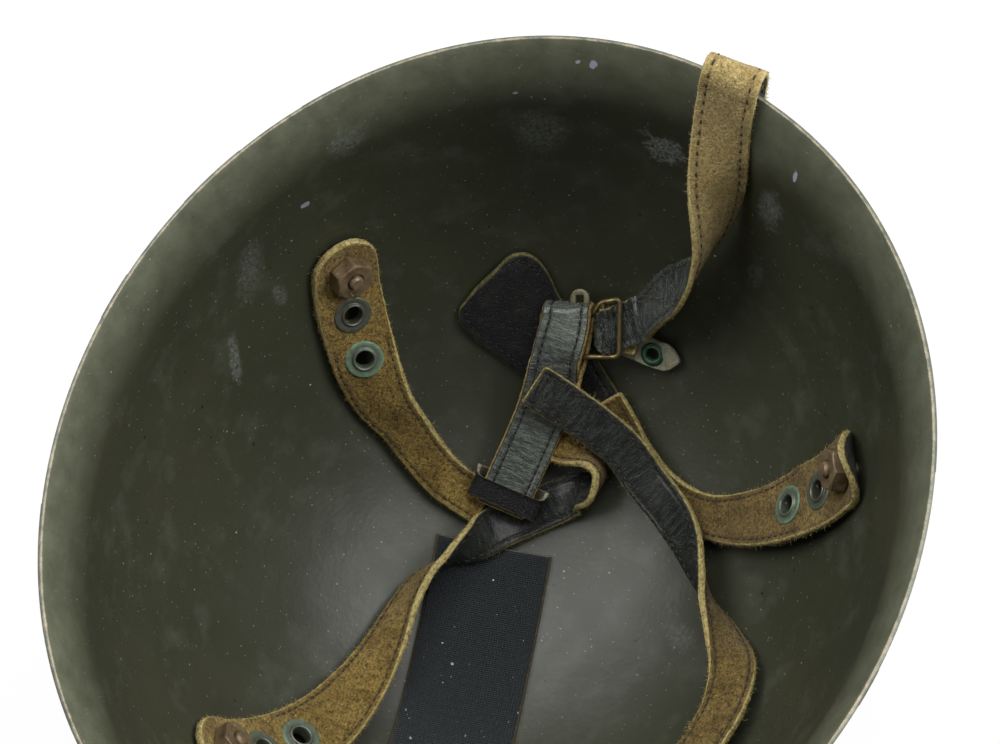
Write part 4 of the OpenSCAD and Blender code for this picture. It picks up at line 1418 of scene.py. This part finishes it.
class Harness:
    """The harness legs, the buckle strap with its keeper, the chin strap, the pad and the tab."""

    end_w = 24.0
    leg_w = 15.0
    strap_w = 18.0
    keeper_at = 13.0
    keeper_lift = 0.3
    keeper_in = (22.5, 4.8)
    keeper_thick = 1.3
    keeper_long = 11.0
    keeper_round = 0.5

    def legs(self) -> None:
        """The four legs with their eyelets and nuts."""
        seat, end, w = 2.5, self.end_w, self.leg_w
        mid = (end + w) / 2
        tables = {
            "rear_left": ((-0.735, 0.475, seat, 0, end), (-0.724, 0.444, 3.2, -4, end),
                          (-0.695, 0.402, 5.4, -12, end - 1), (-0.656, 0.357, 8, -24, end - 2),
                          (-0.6, 0.322, 8.8, -36, mid + 1), (-0.526, 0.303, 8.6, -36, mid - 2),
                          (-0.454, 0.277, 8, -28, w + 1), (-0.369, 0.252, 6.6, -10, w), (-0.3, 0.245, 4.9, 0, w),
                          (-0.242, 0.242, 3.8, 0, w)),
            "rear_right": ((0.735, 0.475, seat, 0, end), (0.702, 0.455, 3.6, -4, end), (0.654, 0.44, 4.8, -8, end),
                           (0.605, 0.422, 5.5, -10, end - 2), (0.546, 0.408, 6, -9, mid),
                           (0.473, 0.4, 5.6, -6, w + 2), (0.394, 0.398, 4.6, -1, w), (0.305, 0.41, 3.8, 8, w),
                           (0.206, 0.442, 3.8, 10, w), (0.11, 0.492, 4.4, 8, w), (0.045, 0.535, 5, 3, w),
                           (-0.02, 0.572, 5.4, 0, w)),
            "front_left": ((-0.474, -0.642, seat, 0, end), (-0.44, -0.615, 3, 3, end), (-0.39, -0.558, 4.4, 6, end),
                           (-0.347, -0.46, 6.8, 8, end - 2), (-0.328, -0.345, 9, 16, mid - 1),
                           (-0.324, -0.225, 10, 38, w + 1), (-0.33, -0.1, 10.6, 62, w), (-0.318, 0, 11.2, 78, w),
                           (-0.281, 0.065, 11.4, 95, w), (-0.234, 0.128, 10.8, 130, w), (-0.185, 0.197, 6, 174, w),
                           (-0.115, 0.266, 2.8, 180, w), (-0.05, 0.322, 2.6, 184, w), (0, 0.362, 4.2, 200, w),
                           (0.04, 0.378, 7, 236, w), (0.056, 0.405, 8.8, 262, w), (0.046, 0.432, 9, 272, w),
                           (0.01, 0.449, 8.8, 286, w), (-0.045, 0.457, 8.2, 316, w), (-0.103, 0.459, 8, 346, w),
                           (-0.155, 0.457, 8, 358, w)),
            "front_right": ((0.474, -0.642, seat, 0, end), (0.53, -0.58, 3.2, -5, end),
                            (0.585, -0.49, 5, -12, end - 1), (0.635, -0.385, 7.6, -20, mid),
                            (0.675, -0.27, 9.4, -25, w + 1), (0.697, -0.16, 9.6, -26, w), (0.7, -0.06, 9, -30, w),
                            (0.672, 0.04, 8.8, -46, w), (0.605, 0.122, 8.6, -76, w), (0.525, 0.198, 8.8, -106, w),
                            (0.46, 0.262, 9.6, -136, w), (0.39, 0.333, 10, -160, w), (0.305, 0.392, 9.8, -176, w),
                            (0.206, 0.443, 10.2, -180, w), (0.105, 0.498, 11.4, -180, w),
                            (0.002, 0.531, 13.6, -180, w), (-0.097, 0.551, 16, -184, w), (-0.18, 0.562, 17, -187, w),
                            (-0.26, 0.566, 17.2, -187, w))}
        fits = {"rear_left": (12.0, (0.12, 1.0), 0.6, SUEDE, 0.0),
                "rear_right": (0.0, (0.3, 0.8), 6.5, DARK_SUEDE, 0.0),
                "front_left": (20.0, (0.5, 0.6), 0.6, SUEDE, 0.0),
                "front_right": (6.0, (0.2, 0.4), 0.6, DARK_SUEDE, 2.8)}
        for name, rows in tables.items():
            turn, greens, curl, suede, trim = fits[name]
            extra = self.cross_box(Route.on_bowl(rows), trim) if trim else ()
            route = Leg(name, rows, curl, extra, trim, suede).build()
            Eyelets(f"{name}_eyelet_rings", f"{name}_eyelets", route, EYELETS, greens).build()
            Nut(name, rows[0][:2], turn).build()

    def cross_box(self, route: Route, trim: float) -> tuple[Seam, ...]:
        """The crossed box of stitches that holds the front right leg on the buckle strap."""
        a, s0, s1 = self.leg_w / 2 - 2.3, route.length - trim - 15.5, route.length - trim - 2.4
        box = ((-a, s0), (a, s0), (a, s1), (-a, s1), (-a, s0))
        return tuple(Seam(p, Side.BACK, 2.3, 1.6, 0.24) for p in (box, ((-a, s0), (a, s1)), ((-a, s1), (a, s0))))

    def buckle_strap(self) -> Route:
        """The strap that runs up through the keeper and folds over the buckle's bar.

        Returns:
            The route of its foot, which the keeper goes round.
        """
        b, w = Buckle, self.strap_w
        foot = Route.on_bowl(((-0.19, 0.195, 10.4, 0, w), (-0.192, 0.275, 10.4, 0, w), (-0.191, 0.35, 10.7, -2, w),
                              (-0.187, 0.43, 11.2, -4, w), (-0.184, 0.489, 12.2, -5, w), (-0.184, 0.54, 13.3, -6, w),
                              (-0.188, 0.59, 14.2, -6, w)), 4)
        rows = [[*foot.point[i], *foot.across[i], w] for i in range(0, len(foot.point), 2)]
        rows += [b.row(*q, b.x, w - 0.5) for q in ((-9, -10.6, 3.5), (-7.7, -6, 3.3), (-6.2, -1, 3))]
        rows.append(b.row(b.fold_x - 0.3, 3, b.fold_r, b.x, b.fold_w))
        crown = len(rows) + 4
        for k in range(9):
            a = math.radians(22.5 * k)
            rows.append(b.row(b.fold_x, b.bar_y + b.fold_r * math.sin(a), b.fold_r * math.cos(a), b.x, b.fold_w))
        rows += [b.row(*q, b.x, b.fold_w) for q in ((-5.1, 3, -2.7), (-6.2, -2, -2.7), (-7.4, -7, -2.7),
                                                    (-8.4, -11, -2.6), (-9.4, -15, -1.5), (-10.3, -19, -0.8))]
        route = Route.free(rows, 6)
        top = route.row_at(crown)
        seams = edge_seams(route, 3.1, 9.0, top + 14, (Side.FRONT,), 2.6, 1.7)
        Strap("buckle_strap_leather", "buckle_strap", route, (GLOSS_GRAIN, BACK_SUEDE, STRAP_EDGE, BLACK_THREAD),
              "grain_leather", seams=seams, groove=0.5, groove_in=3.1, wave=0.4, cell=0.66, bow=0.75, skip=7.2,
              # painted highlights: the grain is lightened below the fold and along the lower run, standing in for the
              # sheen of the light
              slots=((0.4, 7.6, top - 1.4, top + 1.6),), painted_highlight=((top - 8, 7.0, 1.0), (30.0, 22.0, 0.35))).build()
        return foot

    def keeper(self, foot: Route) -> None:
        """The smooth leather loop round the strap's foot."""
        p, across, normal, _ = foot.at(np.array(self.keeper_at))
        travel = np.cross(normal, across)
        turn = math.tau * (np.arange(121) / 120) - math.pi / 2
        w, h = (size + self.keeper_thick for size in self.keeper_in)
        c, s = (np.sign(q) * np.abs(q) ** self.keeper_round for q in (np.cos(turn), np.sin(turn)))
        pts = p + normal * self.keeper_lift + np.outer(c * w / 2, across) + np.outer(s * h / 2, normal)
        t = tangents(pts)
        t[0] = t[-1] = unit(t[1] + t[-2])
        out = unit(np.cross(travel, t))
        if ((pts - pts.mean(0)) * out).sum() < 0:
            out = -out
        cross = np.cross(t, out)
        route = Route(pts, cross, out, np.full(len(pts), self.keeper_long), t)
        Strap("keeper_loop_leather", "keeper_loop", route, (SMOOTH_GRAIN, KEEPER_SUEDE, LIP_EDGE, BLACK_THREAD),
              "grain_leather", thick=self.keeper_thick, body="keeper", groove=0.0, bow=0.25, fray=0.08, wave=0.1,
              cell=0.55, corner=0.05, start_corner=0.05, lip=0.9, lip_side=float(np.sign((cross[0] * travel).sum())),
              lean=tuple(float(v) for v in normal)).build()

    def chin_strap(self) -> None:
        """The strap that hangs outside, comes over the rim and wraps the buckle's middle bar."""
        b, cw, ww = Buckle, 18.5, 15.0
        out_y = BOWL.half_l * 0.992 + BOWL.wall + 0.5 + 1.0

        def rim(x: float, dy: float, z: float) -> list[float]:
            """A row near the rim."""
            return [x, out_y + dy, BOWL.height + z, -1, 0, 0, cw]

        def share(x: float, y: float, z: float, a: Sequence[float]) -> list[float]:
            """A row given by shares of the shell's half sizes and height."""
            return [x * BOWL.half_w, y * BOWL.half_l, z * BOWL.height, *a, cw]

        rows = [rim(16.8, 0.4, -76 + k * 17) for k in range(5)]
        rows += [rim(16.7, 1.8, 1), rim(16.6, 0.6, 5), rim(16.5, -2.6, 6.4), rim(16.5, -6.2, 3.6), rim(16.5, -8.4, -3)]
        rows += [share(0.137, 0.934, 0.93, (-1, 0.18, 0)), share(0.145, 0.904, 0.87, (-1, 0.12, 0.05)),
                 share(0.156, 0.871, 0.8, (-0.85, -0.3, 0.4)), share(0.168, 0.838, 0.725, (-0.5, -0.6, 0.65)),
                 share(0.172, 0.803, 0.655, (-0.1, -0.75, 0.65)), share(0.155, 0.77, 0.59, (0.1, -0.9, 0.45)),
                 share(0.118, 0.744, 0.53, (0.25, -0.95, 0.05)), share(0.075, 0.727, 0.475, (0.25, -0.8, -0.5))]
        rows.append(b.row(20.4, 4.4, -b.wrap_r - 1, -b.y, ww + 1))
        rows += [b.row(*q, -b.y, ww) for q in ((15, 2, -b.wrap_r - 0.4), (12.4, 1, -b.wrap_r - 0.1), (10.6, 0.3, -1.2),
                                               (9, -0.1, 1.2))]
        for k in range(7):
            c, s = math.cos(math.radians(30 * k)), math.sin(math.radians(30 * k))
            rows.append(b.row(b.mid_bar - b.wrap_r * s, -0.3, b.wrap_r * c, -b.y, ww - 6 * s))
        rows += [b.row(*q, -b.y, ww) for q in ((10.2, -0.3, -b.wrap_r - 1.5), (13.4, -0.8, -b.wrap_r - 2.7),
                                               (18, -2, -b.wrap_r - 3.2))]
        route = Route.free(rows, 5, soften=9)
        stop = route.row_at(19)
        seams = edge_seams(route, 2.6, 4.0, stop + 16, (Side.FRONT, Side.BACK), 3.6, 1.6)
        Strap("chin_strap_leather", "chin_strap", route, (CHIN_SUEDE, GLOSS_GRAIN, LEG_EDGE, THREAD), "suede_leather",
              thick=2.0, seams=seams, groove=0.2, groove_in=2.6, bow=0.3, fray=0.14, wave=0.5, cell=0.8,
              start_corner=4.0, fuzz=5.0).build()

    def chin_pad(self) -> None:
        """The black pad under the fold, thicker in its middle, sewn round its edge."""
        edges = fine(((-0.375, 0.723, -0.46, 0.608), (-0.346, 0.738, -0.472, 0.58), (-0.311, 0.744, -0.452, 0.56),
                      (-0.274, 0.736, -0.404, 0.554), (-0.231, 0.713, -0.339, 0.551), (-0.174, 0.689, -0.264, 0.545),
                      (-0.109, 0.658, -0.181, 0.531), (-0.059, 0.631, -0.112, 0.518), (-0.006, 0.604, -0.048, 0.512),
                      (0.047, 0.571, 0.012, 0.492), (0.095, 0.537, 0.066, 0.464)), 10)
        lift = np.full(len(edges), 1.8)
        a, b = BOWL.spot(edges[:, 0], edges[:, 1], lift), BOWL.spot(edges[:, 2], edges[:, 3], lift)
        c, m = unit(b - a), (a + b) / 2
        n0 = BOWL.normal(m[:, 0], m[:, 1])
        n = unit(n0 - (n0 * c).sum(1, keepdims=True) * c)
        route = Route(m, c, n, np.linalg.norm(b - a, axis=1), np.cross(n, c), 10)
        seams = edge_seams(route, 2.9, 3.0, route.length - 2, (Side.FRONT,), 2.7, 1.6)
        half = float(route.width[0]) / 2 - 3.0
        seams += (Seam(((-half, 3.0), (half, 3.0)), Side.FRONT, 2.7, 1.6),)
        obj = Strap("chin_pad_leather", "chin_pad", route, (PAD_GRAIN, BACK_SUEDE, PAD_EDGE, BLACK_THREAD),
                    "grain_leather", thick=2.4, seams=seams, groove=0.35, groove_in=2.9, dome=0.9, wave=0.45,
                    start_corner=3.0, cell=0.7).build()

    def tab(self) -> None:
        """The pale pointed tab with its green eyelet."""
        b = Buckle
        start, mid, tip = b.at(11.5, -4.4, -b.wrap_r - 5.3), b.at(21.8, -8.9, -9.1), b.at(31, -11.3, -8)
        across = -b.y - b.n * 0.15
        quarter = fine([start, (start + mid) / 2, mid, mid * 0.55 + tip * 0.45], 2)
        rows = [[*q, *across, 10.0] for q in quarter]
        rows += [[*(mid * 0.28 + tip * 0.72), *across, 7.4], [*tip, *across, 1.6]]
        route = Route.free(rows, 6)
        place = route.row_at(4)
        Strap("pointed_tab_leather", "tip_tab", route, (PALE,) * 3, "pale_leather", thick=1.6,
              holes=((0, place, 2.85),), groove=0.0, bow=0.3, fray=0.1, wave=0.2, cell=0.5, corner=0.5,
              stain=(0.0, place, 3.9)).build()
        Eyelets("tab_eyelet_ring", "tip_eyelet", route, (place,), (1.0,), bore=4.0, outer=7.8, thick=1.6, body=0.62,
                finish=TAB_METAL).build()


class Hardware:
    """The wire buckle and its ear, in millimetres."""

    bend_reach = (2.0, 1.5, 1.5, 2.0, 2.0, 2.0)
    bar_share = 0.87
    eye = 3.4
    hole = 1.4
    plate = 1.1
    eye_up = 4.9

    def frame(self) -> None:
        """The bent wire frame with its middle bar."""
        b = Buckle
        bends = np.array([(b.left_x, b.bar_y), (3.6, b.bar_y), (6.4, b.top_y - 1.3), (b.right_x + 0.9, b.top_y),
                          (b.right_x, b.low_y), (b.left_x, b.low_y - 0.6)])
        ring: list[np.ndarray] = []
        for i, (here, reach) in enumerate(zip(bends, self.bend_reach)):
            a = here + unit(bends[i - 1] - here) * reach
            c = here + unit(bends[(i + 1) % len(bends)] - here) * reach
            ring += [a * (1 - t) ** 2 + here * 2 * t * (1 - t) + c * t * t for t in np.arange(9) / 8]
        bar = b.low_y - 0.1 + (b.top_y - 1.3 - b.low_y) * np.arange(8) / 7
        mesh = sweep([[(*(b.at(x, y, 0.0) * MM), 1.0) for x, y in ring],
                      [(*(b.at(b.mid_bar, y, 0.0) * MM), self.bar_share) for y in bar]], b.wire_d / 2 * MM, 6, closed=1)
        bm = bmesh.new()
        bm.from_mesh(mesh)
        bpy.data.meshes.remove(mesh)
        for v in bm.verts:
            v.co += v.normal * 0.00003 * wobble(v.co / MM, 0.8)
        finish_piece("wire_buckle", bm, (BRASS,), "buckle_frame", "buckle_brass", scale=1.0)

    def ear(self) -> None:
        """The flat eye with a square hole, curled round the top bar."""
        def spot(angle: float, square: bool) -> tuple[float, float, float]:
            """A place at an angle on the square hole or on the round eye."""
            c, s = math.cos(angle), math.sin(angle)
            r = self.hole / max(abs(c), abs(s)) if square else self.eye
            return r * c, r * s, -self.plate / 2

        b = Buckle
        bm = bmesh.new()
        loops = [hoop(bm, 64, lambda angle, square=square: spot(angle, square)) for square in (False, True)]
        bmesh.ops.bridge_loops(bm, edges=loops[0] + loops[1])
        for v in bmesh.ops.create_grid(bm, x_segments=6, y_segments=4, size=1.0)["verts"]:
            v.co = (v.co.x * 2.15, -2.7 + v.co.y * 1.1, -self.plate / 2)
        bmesh.ops.translate(bm, vec=(0, 0, self.plate), verts=list(extrude(bm)))
        bmesh.ops.recalc_face_normals(bm, faces=bm.faces)
        sharp = [e for e in bm.edges if len(e.link_faces) == 2 and e.calc_face_angle(0.0) > 0.9]
        bmesh.ops.bevel(bm, geom=sharp, offset=0.16, segments=2, profile=0.5, affect="EDGES", material=-1)
        plate = axes(b.x, b.y, b.n, b.at(b.ear_x, b.bar_y + self.eye_up, 0))
        bmesh.ops.transform(bm, matrix=plate, verts=bm.verts)
        curl = [(1.2, -2.1), (1.2, 2.1), (1.3, 2.2), (2.0, 2.2), (2.1, 2.1), (2.1, -2.1), (2.0, -2.2), (1.3, -2.2)]
        add_ring(bm, curl, 40, axes(b.y, b.n, b.x, b.at(b.ear_x, b.bar_y, 0)))
        finish_piece("buckle_ear_plate", bm, (EAR_METAL,), "buckle_ear", "buckle_brass", body="ear")


@dataclass(frozen=True)
class Studio:
    """The camera, the lights and the floor."""

    target: tuple[float, float, float] = (-8.0, 26.5, 160.0)
    azimuth: float = 33.76
    elevation: float = 66.23
    roll: float = -9.64
    distance: float = 700.0
    lens: float = 88.0
    lamps: tuple[tuple[str, tuple[float, float, float], float], ...] = (
        ("left", (-0.82, -0.08, 1.0), 12.8), ("right_back", (0.85, 0.5, 0.85), 18.5),
        ("overhead", (-0.05, 0.42, 1.3), 12.0))
    lamp_size: float = 0.9
    lamp_aim: tuple[float, float, float] = (0, 0.02, 0.06)
    sky: float = 0.2
    floor_glow: float = 0.9

    def camera(self) -> None:
        """A camera at the photograph's viewing angle."""
        az, el, roll = (math.radians(v) for v in (self.azimuth, self.elevation, self.roll))
        back = Vector((math.sin(az) * math.cos(el), -math.cos(az) * math.cos(el), math.sin(el)))
        right = (-back).cross(Vector((0, 0, 1))).normalized()
        up = right.cross(-back)
        x = right * math.cos(roll) + up * math.sin(roll)
        y = -right * math.sin(roll) + up * math.cos(roll)
        data = bpy.data.cameras.new("camera")
        data.lens, data.sensor_width, data.sensor_fit = self.lens, 36.0, "HORIZONTAL"
        data.clip_start, data.clip_end = 0.01, 20
        obj = show("camera", data)
        obj.matrix_world = axes(x, y, back, (Vector(self.target) + back * self.distance) * MM)
        bpy.context.scene.camera = obj

    def lights(self) -> None:
        """Square soft lights from the left, from behind on the right and from overhead, and an even sky."""
        for name, place, power in self.lamps:
            data = bpy.data.lights.new(name, "AREA")
            data.shape, data.size, data.energy = "SQUARE", self.lamp_size, power
            obj = show(name, data)
            obj.location = place
            obj.rotation_euler = (Vector(self.lamp_aim) - Vector(place)).to_track_quat("-Z", "Y").to_euler()
        world = bpy.data.worlds.new("sky")
        world.use_nodes = True
        world.node_tree.nodes.clear()
        t = Tree(world.node_tree)
        soft, white = (t.add("Background", {"Color": WHITE, "Strength": power}).outputs[0] for power in (self.sky, 1.0))
        t.add("OutputWorld", {"Surface": t.add("MixShader", {0: t.seen(), 1: soft, 2: white}).outputs[0]})
        bpy.context.scene.world = world
        bpy.context.scene.view_settings.view_transform = "Standard"

    def floor(self) -> None:
        """A wide pale floor that shows white to the camera and keeps a soft shadow."""
        bm = bmesh.new()
        bmesh.ops.create_grid(bm, x_segments=2, y_segments=2, size=4.0)
        obj = show("floor", as_mesh("floor", bm))
        mat, t, shader, out = surface("floor_white")
        t.feed(shader, {"Base Color": (0.82, 0.82, 0.82, 1), "Roughness": 0.9, "Specular IOR Level": 0.1})
        glow = t.add("Emission", {"Color": WHITE, "Strength": 1.0}).outputs[0]
        mix = t.add("MixShader", {0: t.times(t.seen(), self.floor_glow), 1: shader.outputs[0], 2: glow}).outputs[0]
        t.feed(out, {"Surface": mix})
        obj.data.materials.append(mat)

    def build(self) -> None:
        """Sets the whole studio up."""
        self.camera()
        self.lights()
        self.floor()


def dress_nodes() -> None:
    """Gives the CAD nodes that stay shown their finishes."""
    bolts = {f"{leg}_bolt": LACQUER for leg in ("rear_left", "rear_right", "front_left", "front_right")}
    for name, finish in {"patch_backing": BACKING, **bolts}.items():
        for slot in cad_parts[name].material_slots:
            slot.material = finish.material()
        LOG.info("%s: %s", name, finish.name)


def main() -> None:
    """Builds the studio and every piece."""
    logging.basicConfig(level=logging.INFO, format="%(name)s %(message)s")
    Studio().build()
    Shell().build()
    Patch().build()
    harness = Harness()
    harness.legs()
    harness.keeper(harness.buckle_strap())
    harness.chin_strap()
    harness.chin_pad()
    harness.tab()
    hardware = Hardware()
    hardware.frame()
    hardware.ear()
    dress_nodes()


if __name__ == "__main__":
    main()
